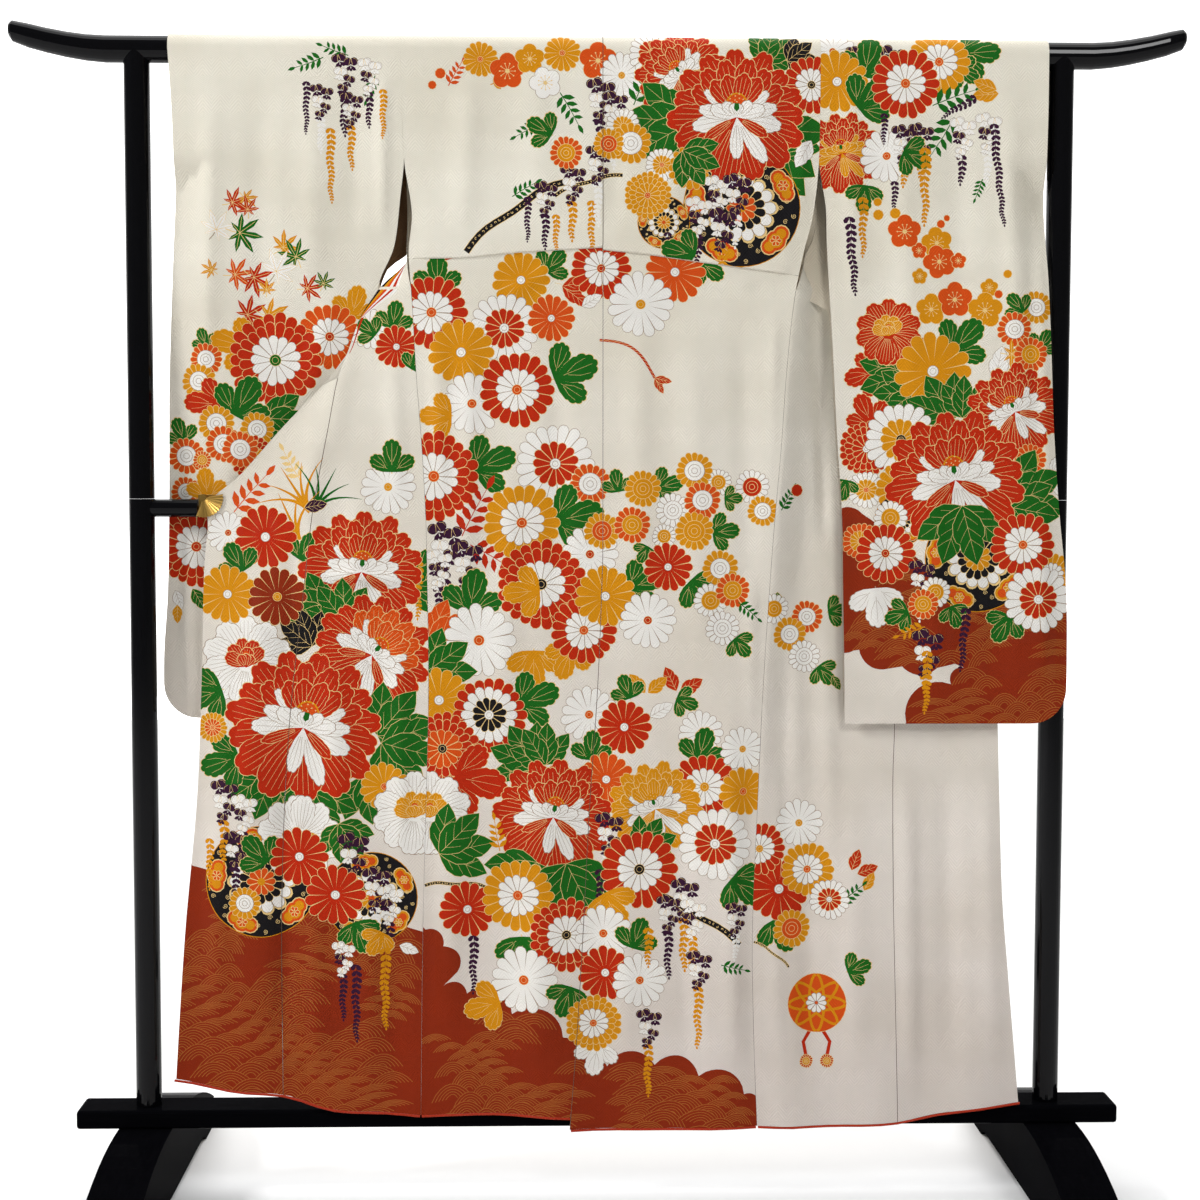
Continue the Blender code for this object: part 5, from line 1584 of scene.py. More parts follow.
BACK_PRINT = [
    ("sprig", -0.227, 1.679, 0.0362, "orange", 60),
    ("sprig", -0.165, 1.681, 0.0362, "gold", 20),
    ("bud", -0.239, 1.697, 0.0076, "orange"),
    ("bud", -0.251, 1.680, 0.0060, "orange"),
    ("daisy", -0.180, 1.718, 0.0257, "gold orange"),
    ("plum", -0.140, 1.701, 0.0272, "orange"),
    ("plum", -0.107, 1.719, 0.0226, "gold"),
    ("plum", -0.084, 1.684, 0.0242, "white", 20),
    ("daisy", -0.059, 1.728, 0.0272, "gold orange"),
    ("plum", -0.006, 1.717, 0.0287, "orange"),
    ("daisy", 0.029, 1.696, 0.0332, "white gold"),
    ("sprig", -0.062, 1.670, 0.0483, "green", -60),
    ("sprig", -0.092, 1.626, 0.0362, "green", -150),
    ("sprig", 0.047, 1.653, 0.0544, "green", 65),
    ("sprig", 0.056, 1.659, 0.0513, "green", 15),
    ("mum", 0.073, 1.729, 0.0332, "white red"),
    ("peony", 0.118, 1.697, 0.0695, "red white", 38),
    ("foliage", 0.130, 1.627, 0.0846, "green", 192),
    ("foliage", 0.212, 1.610, 0.1087, "green", -62),
    ("foliage", 0.222, 1.616, 0.0997, "green", -18),
    ("foliage", 0.242, 1.715, 0.0513, "green", 60),
    ("foliage", 0.275, 1.719, 0.0393, "black", 20),
    ("mum", 0.311, 1.684, 0.0423, "red white black"),
    ("branch", -0.201, 1.435, 0.1782, "black", 32),
    ("branch", -0.070, 1.518, 0.1057, "black", 14),
    ("roundel", 0.208, 1.502, 0.0876, "black orange gold"),
    ("roundel", 0.092, 1.480, 0.0393, "black gold orange"),
    ("leaf", 0.311, 1.602, 0.0453, "white", -120),
    ("peony", 0.200, 1.636, 0.1027, "red white"),
    ("wisteria", -0.003, 1.682, 0.0151, "purple purple 6"),
    ("wisteria", 0.018, 1.664, 0.0136, "purple white 6"),
    ("wisteria", -0.044, 1.556, 0.0136, "purple gold 6"),
    ("wisteria", -0.084, 1.532, 0.0121, "purple purple 6"),
    ("raceme", -0.110, 1.517, 0.0091, "purple 8"),
    ("raceme", -0.015, 1.512, 0.0106, "gold 8"),
    ("raceme", -0.068, 1.491, 0.0091, "gold 6"),
    ("wisteria", -0.006, 1.585, 0.0136, "purple white 7"),
    ("mum", 0.031, 1.622, 0.0257, "white gold"),
    ("button", 0.043, 1.597, 0.0302, "gold white"),
    ("button", 0.010, 1.596, 0.0226, "gold orange"),
    ("button", -0.053, 1.582, 0.0242, "orange gold"),
    ("leaves", -0.074, 1.608, 0.0362, "green", 150),
    ("sprig", -0.133, 1.517, 0.0362, "green", 30),
    ("mum", 0.089, 1.565, 0.0242, "white gold"),
    ("button", 0.130, 1.560, 0.0317, "gold white"),
    ("double", 0.068, 1.520, 0.0347, "gold gold"),
    ("wisteria", 0.171, 1.540, 0.0136, "white purple 3"),
    ("wisteria", 0.200, 1.543, 0.0151, "purple white 4"),
    ("wisteria", 0.143, 1.509, 0.0136, "white purple 4"),
    ("wisteria", 0.178, 1.493, 0.0151, "purple gold 4"),
    ("raceme", 0.098, 1.466, 0.0091, "purple 7"),
    ("foliage", 0.120, 1.586, 0.0513, "green", -40),
    ("cord", -0.249, 1.420, 0.1933, "red", -8),
    ("cord", -0.003, 1.306, 0.0997, "red", -32),
    ("leaves", -0.244, 1.379, 0.0453, "green", 90),
    ("leaves", -0.083, 1.406, 0.0362, "green", 50),
    ("leaves", 0.139, 1.431, 0.0453, "green", 165),
    ("leaves", 0.146, 1.422, 0.0362, "green", -35),
    ("mum", -0.253, 1.346, 0.0544, "red white orange"),
    ("daisy", 0.109, 1.407, 0.0453, "orange white"),
    ("daisy", -0.120, 1.394, 0.0423, "gold white"),
    ("mum", -0.001, 1.412, 0.0453, "red white red"),
    ("daisy", 0.058, 1.359, 0.0483, "white gold"),
    ("mum", -0.145, 1.323, 0.0513, "white red white"),
    ("leaf", -0.029, 1.356, 0.0332, "white", 30),
    ("daisy", -0.075, 1.338, 0.0347, "orange white"),
    ("leaves", -0.071, 1.248, 0.0604, "green", 22),
    ("daisy", -0.209, 1.287, 0.0483, "gold white"),
    ("daisy", -0.193, 1.211, 0.0453, "white orange"),
    ("mum", -0.126, 1.232, 0.0559, "red white orange"),
    ("leaves", -0.223, 1.193, 0.0423, "gold", 180),
    ("leaves", -0.190, 1.113, 0.0574, "green", 22),
    ("double", -0.250, 1.103, 0.0664, "red white orange"),
    ("mum", -0.069, 1.122, 0.0589, "white red white"),
    ("button", -0.017, 1.092, 0.0302, "orange white"),
    ("leaves", -0.068, 1.037, 0.0634, "green", 12),
    ("sprig", -0.208, 1.014, 0.0725, "red", 62),
    ("sprig", -0.196, 1.001, 0.0664, "red", -30),
    ("mum", -0.119, 1.034, 0.0574, "gold white orange"),
    ("daisy", -0.017, 0.987, 0.0423, "white red"),
    ("wisteria", -0.235, 1.023, 0.0181, "purple purple 4"),
    ("wisteria", -0.202, 0.996, 0.0166, "purple white 4"),
    ("wisteria", -0.244, 0.984, 0.0136, "white purple 4"),
    ("leaves", -0.197, 0.900, 0.0574, "green", 80),
    ("leaves", -0.101, 0.843, 0.0513, "gold", -90),
    ("leaves", -0.044, 0.849, 0.0453, "gold", -110),
    ("double", -0.090, 0.942, 0.0664, "red white black"),
    ("leaves", -0.092, 0.933, 0.0483, "gold", 185),
    ("mum", -0.026, 0.873, 0.0498, "red white orange"),
    ("leaves", 0.043, 0.936, 0.0483, "green", 22),
    ("daisy", 0.006, 0.924, 0.0453, "gold white"),
    ("daisy", 0.070, 0.888, 0.0423, "white red"),
    ("foliage", -0.260, 0.858, 0.0634, "orange", 12),
    ("daisy", -0.183, 0.858, 0.0544, "white orange"),
    ("foliage", -0.263, 0.810, 0.0664, "green", 18),
    ("button", 0.001, 1.022, 0.0272, "gold orange"),
    ("button", 0.046, 1.031, 0.0272, "orange gold"),
    ("leaves", 0.026, 1.080, 0.0302, "green", 100),
    ("leaves", 0.082, 1.086, 0.0362, "green", 15),
    ("button", 0.062, 1.085, 0.0272, "gold gold"),
    ("button", 0.107, 1.053, 0.0257, "white white"),
    ("button", 0.094, 1.014, 0.0181, "white gold"),
    ("button", 0.175, 1.095, 0.0196, "white gold"),
    ("button", 0.139, 1.112, 0.0272, "gold white"),
    ("button", 0.151, 1.068, 0.0272, "orange white"),
    ("button", 0.226, 1.088, 0.0257, "white red"),
    ("button", 0.242, 1.052, 0.0226, "gold white"),
    ("leaves", 0.166, 1.020, 0.0362, "green", 5),
    ("button", 0.139, 1.022, 0.0287, "gold gold"),
    ("leaves", 0.070, 0.999, 0.0242, "green", -120),
    ("leaves", 0.133, 0.948, 0.0453, "green", -45),
    ("daisy", 0.100, 0.968, 0.0362, "red white"),
    ("button", 0.178, 0.966, 0.0272, "gold white"),
    ("button", 0.164, 0.918, 0.0257, "white gold"),
    ("button", 0.197, 0.933, 0.0257, "orange gold"),
    ("button", 0.182, 0.876, 0.0257, "white white"),
    ("leaves", 0.200, 0.861, 0.0302, "green", -50),
    ("sprig", 0.206, 0.915, 0.0332, "green", -40),
    ("leaves", 0.184, 1.071, 0.0242, "green"),
    ("leaf", 0.113, 0.782, 0.0393, "red", 115),
    ("leaf", 0.119, 0.779, 0.0393, "red", 32),
    ("leaf", 0.066, 0.779, 0.0362, "gold", 130),
    ("leaf", 0.071, 0.779, 0.0362, "gold", 40),
    ("leaves", 0.044, 0.770, 0.0332, "green", 110),
    ("leaves", 0.113, 0.770, 0.0302, "green", -20),
    ("daisy", -0.243, 0.768, 0.0483, "gold white"),
    ("leaves", -0.122, 0.762, 0.0544, "green", 22),
    ("rosette", -0.168, 0.746, 0.0559, "red white black"),
    ("double", -0.238, 0.695, 0.0544, "red orange black"),
    ("daisy", -0.018, 0.746, 0.0423, "white orange"),
    ("foliage", -0.098, 0.668, 0.0634, "green", 140),
    ("foliage", -0.083, 0.671, 0.0544, "green", 105),
    ("daisy", 0.035, 0.727, 0.0408, "red white"),
    ("leaves", -0.016, 0.677, 0.0393, "green", 85),
    ("leaf", 0.074, 0.743, 0.0393, "white", 30),
    ("leaves", -0.220, 0.653, 0.0695, "red", -12),
    ("daisy", 0.150, 0.719, 0.0332, "white red"),
    ("leaves", 0.147, 0.676, 0.0453, "green", 75),
    ("daisy", 0.008, 0.648, 0.0408, "orange white"),
    ("mum", 0.156, 0.637, 0.0498, "red white gold"),
    ("daisy", 0.213, 0.694, 0.0332, "white gold"),
    ("daisy", 0.214, 0.630, 0.0362, "gold orange"),
    ("peony", 0.082, 0.603, 0.0725, "gold white gold", 15),
    ("peony", -0.072, 0.592, 0.0906, "red white", -10),
    ("bloom", -0.257, 0.598, 0.0634, "white gold"),
    ("foliage", -0.243, 0.537, 0.0725, "green", 28),
    ("sprig", -0.152, 0.540, 0.0423, "gold", 100),
    ("foliage", -0.095, 0.524, 0.0755, "green", -125),
    ("foliage", -0.052, 0.521, 0.0876, "green", -80),
    ("foliage", 0.059, 0.539, 0.0513, "green", 40),
    ("branch", 0.060, 0.478, 0.1691, "black", -32),
    ("branch", -0.265, 0.488, 0.0906, "black", -5),
    ("wisteria", 0.011, 0.588, 0.0151, "purple white 5"),
    ("raceme", -0.001, 0.512, 0.0121, "purple 7"),
    ("mum", 0.172, 0.551, 0.0544, "white red white"),
    ("mum", 0.058, 0.512, 0.0589, "red white black"),
    ("leaves", 0.196, 0.499, 0.0513, "green", -40),
    ("daisy", -0.201, 0.452, 0.0423, "red white"),
    ("mum", -0.125, 0.473, 0.0544, "gold white orange"),
    ("leaves", -0.119, 0.411, 0.0544, "green", -85),
    ("double", -0.052, 0.413, 0.0559, "red white black"),
    ("leaves", 0.005, 0.475, 0.0513, "gold", -60),
    ("daisy", 0.004, 0.414, 0.0423, "white orange"),
    ("leaves", 0.048, 0.392, 0.0423, "green", 70),
    ("raceme", -0.192, 0.412, 0.0121, "purple 8"),
    ("daisy", -0.116, 0.345, 0.0498, "white orange"),
    ("leaves", -0.152, 0.310, 0.0483, "gold", 195),
    ("leaves", -0.045, 0.334, 0.0423, "green", -110),
    ("daisy", 0.007, 0.354, 0.0408, "red white"),
    ("daisy", 0.059, 0.343, 0.0408, "white orange"),
    ("leaves", -0.004, 0.245, 0.0423, "white", -100),
    ("double", -0.011, 0.277, 0.0423, "gold white"),
    ("raceme", 0.072, 0.423, 0.0121, "gold 4"),
    ("wisteria", 0.126, 0.487, 0.0151, "purple gold 8"),
    ("wisteria", 0.102, 0.463, 0.0136, "purple purple 8"),
    ("wisteria", 0.139, 0.456, 0.0136, "white gold 6"),
    ("wisteria", 0.148, 0.378, 0.0136, "purple gold 11"),
    ("wisteria", 0.072, 0.290, 0.0136, "purple gold 9"),
    ("wisteria", 0.203, 0.455, 0.0121, "purple white 4"),
    ("sprig", 0.182, 0.367, 0.0332, "green", -15),
]
RIGHT_PRINT = [
    ("sprig", 0.270, 1.053, 0.0332, "green", 60),
    ("bud", 0.295, 1.083, 0.0091, "red"),
    ("leaf", 0.265, 0.930, 0.0332, "green", -90),
    ("button", 0.260, 0.905, 0.0226, "white gold"),
    ("button", 0.312, 0.892, 0.0242, "orange white"),
    ("button", 0.285, 0.866, 0.0257, "gold white"),
    ("leaves", 0.344, 0.899, 0.0302, "green", 8),
    ("button", 0.308, 0.832, 0.0242, "white white"),
    ("leaves", 0.329, 0.817, 0.0302, "green", -50),
    ("leaf", 0.351, 0.802, 0.0242, "green", -60),
    ("daisy", 0.301, 0.579, 0.0362, "white gold"),
    ("leaves", 0.249, 0.511, 0.0453, "green", 170),
    ("leaves", 0.262, 0.434, 0.0483, "green", -60),
    ("daisy", 0.270, 0.480, 0.0483, "red white"),
    ("mum", 0.314, 0.508, 0.0408, "gold white orange"),
    ("leaf", 0.381, 0.508, 0.0332, "red", 70),
    ("leaf", 0.390, 0.502, 0.0332, "red", 20),
    ("leaf", 0.400, 0.477, 0.0302, "gold", 60),
    ("sprig", 0.366, 0.458, 0.0362, "green", 40),
    ("mum", 0.348, 0.462, 0.0302, "white red white"),
    ("button", 0.290, 0.419, 0.0287, "gold orange"),
    ("mum", 0.240, 0.542, 0.0393, "red white gold"),
    ("ball", 0.329, 0.304, 0.0453, "orange gold"),
    ("leaves", 0.375, 0.353, 0.0332, "green", 20),
    ("branch", 0.232, 0.400, 0.0664, "black", -40),
]
RIGHT_SLEEVE_PRINT = [
    ("daisy", 0.342, 1.733, 0.0332, "white red"),
    ("wisteria", 0.378, 1.733, 0.0121, "purple purple 3"),
    ("wisteria", 0.428, 1.733, 0.0151, "purple white 3"),
    ("leaves", 0.390, 1.695, 0.0544, "green", 80),
    ("leaves", 0.534, 1.731, 0.0513, "green", 5),
    ("leaves", 0.527, 1.711, 0.0332, "green", -30),
    ("daisy", 0.349, 1.689, 0.0453, "gold white"),
    ("mum", 0.501, 1.719, 0.0468, "gold white orange"),
    ("leaves", 0.379, 1.651, 0.0544, "green", 40),
    ("mum", 0.451, 1.687, 0.0513, "red white orange"),
    ("sprig", 0.492, 1.655, 0.0604, "green", 20),
    ("sprig", 0.525, 1.638, 0.0604, "green", -122),
    ("leaf", 0.590, 1.673, 0.0393, "gold", 185),
    ("leaf", 0.587, 1.679, 0.0362, "gold", 160),
    ("wisteria", 0.537, 1.629, 0.0136, "white purple 4"),
    ("wisteria", 0.575, 1.635, 0.0136, "white white 5"),
    ("raceme", 0.557, 1.667, 0.0106, "purple 5", -60),
    ("raceme", 0.584, 1.629, 0.0106, "purple 20", 6),
    ("sprig", 0.568, 1.547, 0.0272, "green", -110),
    ("peony", 0.357, 1.584, 0.0604, "red gold red", 10),
    ("daisy", 0.424, 1.580, 0.0393, "white orange"),
    ("wisteria", 0.449, 1.617, 0.0136, "purple gold 3"),
    ("wisteria", 0.474, 1.620, 0.0136, "purple gold 2"),
    ("raceme", 0.420, 1.643, 0.0091, "purple 4"),
    ("raceme", 0.436, 1.543, 0.0091, "purple 4"),
    ("leaves", 0.448, 1.587, 0.0393, "green", -25),
    ("raceme", 0.482, 1.593, 0.0136, "gold 10"),
    ("leaves", 0.392, 1.537, 0.0362, "green", -95),
    ("raceme", 0.389, 1.519, 0.0121, "gold 8"),
    ("raceme", 0.368, 1.490, 0.0128, "purple 11", 5),
    ("plum", 0.451, 1.468, 0.0257, "orange"),
    ("plum", 0.500, 1.452, 0.0242, "gold", 10),
    ("plum", 0.504, 1.424, 0.0257, "orange", 20),
    ("plum", 0.533, 1.426, 0.0121, "orange"),
    ("bud", 0.412, 1.493, 0.0076, "gold"),
    ("bud", 0.411, 1.512, 0.0060, "gold"),
    ("bud", 0.437, 1.495, 0.0076, "gold"),
    ("bud", 0.506, 1.480, 0.0060, "orange"),
    ("bud", 0.515, 1.489, 0.0045, "orange"),
    ("plum", 0.473, 1.440, 0.0121, "orange"),
    ("plum", 0.474, 1.402, 0.0121, "gold"),
    ("plum", 0.579, 1.386, 0.0136, "gold"),
    ("bud", 0.606, 1.406, 0.0060, "gold"),
    ("bud", 0.593, 1.376, 0.0060, "orange"),
    ("plum", 0.492, 1.353, 0.0242, "gold"),
    ("plum", 0.573, 1.352, 0.0272, "gold"),
    ("plum", 0.528, 1.368, 0.0272, "orange"),
    ("leaf", 0.590, 1.248, 0.0513, "white", 80),
    ("leaves", 0.410, 1.260, 0.0423, "red", 195),
    ("foliage", 0.453, 1.257, 0.0604, "green", 182),
    ("foliage", 0.468, 1.230, 0.0544, "green", 200),
    ("bloom", 0.428, 1.319, 0.0498, "red gold"),
    ("leaf", 0.463, 1.293, 0.0453, "red", 15),
    ("leaves", 0.525, 1.290, 0.0544, "green", 48),
    ("daisy", 0.495, 1.261, 0.0574, "gold white"),
    ("button", 0.651, 1.357, 0.0242, "gold white"),
    ("leaves", 0.630, 1.349, 0.0302, "green", 130),
    ("button", 0.617, 1.324, 0.0257, "orange white"),
    ("leaves", 0.655, 1.293, 0.0302, "green", 60),
    ("maple", 0.613, 1.287, 0.0211, "gold"),
    ("button", 0.642, 1.287, 0.0257, "orange gold"),
    ("foliage", 0.526, 1.189, 0.0664, "green", 140),
    ("foliage", 0.540, 1.192, 0.0544, "green", 70),
    ("foliage", 0.454, 1.173, 0.0483, "green", 195),
    ("peony", 0.619, 1.201, 0.0725, "red white", 24),
    ("button", 0.643, 1.129, 0.0242, "orange gold"),
    ("leaves", 0.673, 1.102, 0.0362, "white", 10),
    ("leaves", 0.404, 1.182, 0.0423, "red", 115),
    ("double", 0.396, 1.145, 0.0408, "red red white"),
    ("mum", 0.448, 1.159, 0.0544, "white gold black"),
    ("mum", 0.396, 1.084, 0.0272, "white gold"),
    ("mum", 0.388, 1.007, 0.0272, "orange gold gold"),
    ("daisy", 0.446, 1.087, 0.0362, "gold orange"),
    ("button", 0.463, 1.069, 0.0287, "orange white"),
    ("leaves", 0.366, 1.099, 0.0272, "green", -100),
    ("foliage", 0.606, 1.069, 0.0815, "green", 8),
    ("foliage", 0.605, 1.060, 0.0725, "green", -28),
    ("roundel", 0.566, 0.982, 0.0815, "black gold orange"),
    ("roundel", 0.448, 1.039, 0.0393, "black orange gold"),
    ("peony", 0.530, 1.099, 0.1057, "red white", 8),
    ("foliage", 0.541, 1.060, 0.0785, "green", -92),
    ("button", 0.433, 1.042, 0.0257, "white gold"),
    ("leaves", 0.411, 0.937, 0.0513, "white", -85),
    ("mum", 0.426, 0.989, 0.0453, "red white red"),
    ("mum", 0.677, 0.956, 0.0332, "gold white"),
    ("mum", 0.633, 1.002, 0.0483, "red white orange"),
    ("wisteria", 0.479, 0.970, 0.0136, "purple white 3"),
    ("leaves", 0.616, 0.895, 0.0393, "green", -120),
    ("mum", 0.657, 0.920, 0.0498, "white red white"),
    ("button", 0.501, 0.931, 0.0226, "white gold"),
    ("button", 0.483, 0.913, 0.0226, "orange gold"),
    ("leaves", 0.462, 0.901, 0.0332, "green", 200),
    ("sprig", 0.486, 0.879, 0.0362, "gold", 200),
    ("leaves", 0.525, 0.910, 0.0302, "green", -70),
    ("wisteria", 0.489, 0.864, 0.0166, "purple gold 1"),
    ("raceme", 0.490, 0.843, 0.0121, "gold 9"),
    ("raceme", 0.549, 0.907, 0.0121, "purple 9", -4),
]


def motif_shapes(table):
    """The outlines of all the motifs in a table, in the panel's plane."""
    shapes = []
    for motif in (Motif(*row) for row in table):
        size = motif.size * GROWTH.get(motif.kind, 1.0)
        drawn = KINDS[motif.kind](LINE / size, *motif.colours.split())
        shapes += moved(drawn, motif.x, motif.z, size, math.radians(motif.turn))
    return shapes


# Pieces of silk

def down(first, last, step=CELL):
    """Heights from first to last, both included."""
    count = max(int(round(abs(last - first) / step)), 1)
    return np.linspace(first, last, count + 1)


def level_points(first, last, height, count=TOP_POINTS):
    """Points at one height, from first to last across."""
    return [(float(x), height) for x in np.linspace(first, last, count)]


def traced(xs, zs):
    """Two arrays as a list of points."""
    return list(zip(xs.tolist(), zs.tolist()))


def edge_points(x_of, heights):
    """Points of an edge, whose place across is a function of the height."""
    return [(float(x), float(z)) for x, z in zip(np.broadcast_to(x_of(heights), heights.shape),
                                                 heights)]


def hem_points(hem, first, last):
    """Points of a lowest edge, whose height is a function of the place across."""
    xs = down(first, last)
    return [(float(x), float(hem(x))) for x in xs]


def back_outline(side):
    """Half of the back in its own plane. Above the bar the height counts along the cloth."""
    hem = BACK_HEMS[side]
    low = SIDE_HEM[side]
    centre_low = float(BACK_CENTRE(low)) + side * SEAM / 2
    side_low = float(back_edge(side, low))
    heights = np.append(down(low, BAR_HEIGHT), down(BAR_HEIGHT, ARC_TOP, ARC_STEP)[1:])
    outer = edge_points(lambda z: back_edge(side, np.minimum(z, BAR_HEIGHT)), heights)
    middle_low = float(hem(centre_low))
    heights = np.append(down(middle_low, BAR_HEIGHT), down(BAR_HEIGHT, ARC_TOP, ARC_STEP)[1:])
    centre = edge_points(lambda z: BACK_CENTRE(np.minimum(z, BAR_HEIGHT)) + side * SEAM / 2,
                         heights)
    top = level_points(outer[-1][0], centre[-1][0], ARC_TOP)
    hem_line = hem_points(hem, side_low, centre_low)
    return hem_line[:-1] + centre[:-1] + top[::-1][:-1] + outer[::-1]


def back_place(points, layers=1.0):
    x, v = points[:, 0], points[:, 1]
    return over_bar(x, v, back_surface(x, np.minimum(v, BAR_HEIGHT), layers))


def back_lining(points):
    """Inside, the cloth is level across the tuck."""
    return back_place(points, 0.0)


def front_outline(side):
    """An opened front, from its side seam to the okumi seam."""
    hem = FRONT_HEMS[side]
    low = SIDE_HEM[side]
    inner_low = float(back_edge(side, low)) + side * SEAM
    seam_low = float(FRONTS[side][1](low)) - side * SEAM / 2
    inner = edge_points(lambda z: back_edge(side, z) + side * SEAM, down(low, FRONT_TOP))
    outer = edge_points(lambda z: FRONTS[side][1](z) - side * SEAM / 2,
                        down(float(hem(seam_low)), FRONT_TOP))
    top = level_points(inner[-1][0], outer[-1][0], FRONT_TOP)
    hem_line = hem_points(hem, inner_low, seam_low)
    return hem_line[:-1] + outer[:-1] + top[::-1][:-1] + inner[::-1][:-1]


def front_place(side):
    def place(points):
        x, z = points[:, 0], points[:, 1]
        return np.stack([x, front_depth(side, x, z), z], 1)
    return place


def okumi_outline(side):
    """The overlap panel sewn to the edge of the opened front."""
    hem = FRONT_HEMS[side]
    seam_low = float(FRONTS[side][1](SIDE_HEM[side])) + side * SEAM / 2
    outer_low = float(FRONTS[side][0](SIDE_HEM[side]))
    inner = edge_points(lambda z: FRONTS[side][1](z) + side * SEAM / 2,
                        down(float(hem(seam_low)), OKUMI_TOP))
    outer = edge_points(FRONTS[side][0], down(float(hem(outer_low)), OKUMI_TOP))
    hem_line = hem_points(hem, seam_low, outer_low)
    return hem_line[:-1] + outer[:-1] + inner[::-1][:-1]


def turn_patch(side):
    """The stretch from behind the bar, through the opening under the arm, to the opened front."""
    table = LEFT_TURN if side < 0 else RIGHT_TURN
    across = np.linspace(0, 1, TURN_COLUMNS + 1)[:, None]
    rows = []
    behind = np.array([[float(back_edge(side, BAR_HEIGHT)), WRAP, BAR_HEIGHT],
                       [float(BACK_CENTRE(BAR_HEIGHT)) + side * SEAM / 2, WRAP, BAR_HEIGHT]])
    ends = [behind]
    for row in table:
        side_x = float(back_edge(side, row[2])) if row[2] >= ARMHOLE else row[0]
        ends.append(np.array([[side_x, row[1], row[2]], row[3:6]]))
    top = np.array([[float(back_edge(side, FRONT_TOP)) + side * SEAM, 0, FRONT_TOP],
                    [float(FRONTS[side][1](FRONT_TOP)) - side * SEAM / 2, 0, FRONT_TOP]])
    top[:, 1] = front_depth(side, top[:, 0], top[:, 2])
    ends.append(top)
    ends = np.array(ends)
    lengths = np.linalg.norm(np.diff(ends, axis=0), axis=2).max(axis=1)
    for i, length in enumerate(lengths):
        before, after = ends[max(i - 1, 0)], ends[min(i + 2, len(ends) - 1)]
        leaving, arriving = (ends[i + 1] - before) / 2, (after - ends[i]) / 2
        steps = max(int(math.ceil(length / TURN_STEP)), 1)
        for t in (j / steps for j in range(steps)):
            pair = passage(t, ends[i], ends[i + 1], leaving, arriving)
            rows.append(pair[0] + (pair[1] - pair[0]) * across)
    last = ends[-1][0] + (ends[-1][1] - ends[-1][0]) * across
    last[:, 1] = front_depth(side, last[:, 0], last[:, 2])
    rows.append(last)
    return rows


def rear_reach(side, z):
    """How far the rear layer of a sleeve reaches in behind the opening under the arm."""
    opening = ease((z - GAP_LOW[side]) / GAP_FADE) * ease((GAP_HIGH - z) / GAP_FADE)
    room = np.abs(SLEEVES[side][0](z) - back_edge(side, z)) - GAP_ROOM
    return np.maximum(room, 0.0) * opening


def sleeve_outline(side, layer):
    """The front layer runs on over the bar. The rear one begins behind it."""
    bottom = SLEEVE_BOTTOM[side] + 0.0003
    corner = SLEEVE_BOTTOM[side] + SLEEVE_CORNER * (1 - np.cos(np.linspace(0.12, 1, 9)
                                                                * math.pi / 2))
    heights = np.append(corner, down(corner[-1] + CELL, BAR_HEIGHT))
    reach = side if layer > 0 else 0.0
    inner = edge_points(lambda z: sleeve_edges(side, z)[0] - reach * rear_reach(side, z),
                        down(bottom, BAR_HEIGHT))
    outer = edge_points(lambda z: sleeve_edges(side, z)[1], heights)
    if layer < 0:
        arc = down(BAR_HEIGHT, ARC_TOP, ARC_STEP)[1:]
        inner += [(inner[-1][0], float(z)) for z in arc]
        outer += [(outer[-1][0], float(z)) for z in arc]
    top = level_points(outer[-1][0], inner[-1][0], outer[-1][1], 35)
    low = level_points(inner[0][0], outer[0][0], bottom, 30)[1:-1]
    return inner[:1] + low + outer[:-1] + top + inner[::-1][1:-1]


def sleeve_place(side, layer):
    def place(points):
        x, v = points[:, 0], points[:, 1]
        y = sleeve_depth(side, x, np.minimum(v, BAR_HEIGHT), layer)
        if layer < 0:
            return over_bar(x, v, y)
        return np.stack([x, y, v], 1)
    return place


def make_sleeve(side, shapes, rear_shapes):
    """The front layer, with the cloth over the bar, and the rear layer behind it."""
    front = printed(sleeve_outline(side, -1), shapes, sleeve_place(side, -1))
    # a painted shade on the lining of the left rear layer, inside the opening under the arm
    low, high = PAINTED_SHADE_HEIGHTS
    near, far = PAINTED_SHADE_REACH
    painted_shade = [(float(back_edge(side, z)) + side * w, z) for z, w in
            ((low, near), (high, near), (high, far), (low, far))]
    rear = printed(sleeve_outline(side, 1), rear_shapes, sleeve_place(side, 1), flip=True,
                   dark=[Shape(painted_shade, "inside")] if side < 0 else ())
    return shell("sleeve_silk_" + SIDES[side], [front, rear])


def make_body(side, back_print, front_print):
    """One width of cloth: down the back, and over the bar through the opening to the front."""
    middle, overlap = CREASE_CENTRE
    across = np.linspace(float(back_edge(side, CREASE_SIDE)) - side * CREASE_REACH,
                         middle + side * overlap, CREASE_POINTS)
    creases = [[(float(x), float(waist(x)) + rise) for x in across] for rise in TUCK_STEP]
    back = printed(back_outline(side), back_print, back_place, creases=creases,
                   lining_place=back_lining)
    rows = turn_patch(side)

    def bundle(j, i):
        """The print shows in stripes where the left front is folded through the opening."""
        low = rows[j][0][2]
        if side > 0 or not BUNDLE_LOW < low < BUNDLE_TOP:
            return "ivory"
        return BUNDLE.get((len(rows[j]) - 2 - i) // STRIPE_COLUMNS, "ivory")

    turn = grid_patch(rows, side > 0, bundle)
    front = printed(front_outline(side), front_print, front_place(side))
    return shell("body_silk_" + SIDES[side], [back, turn, front])


def make_okumi(side, shapes):
    return shell("okumi_silk_" + SIDES[side],
                 [printed(okumi_outline(side), shapes, front_place(side))])


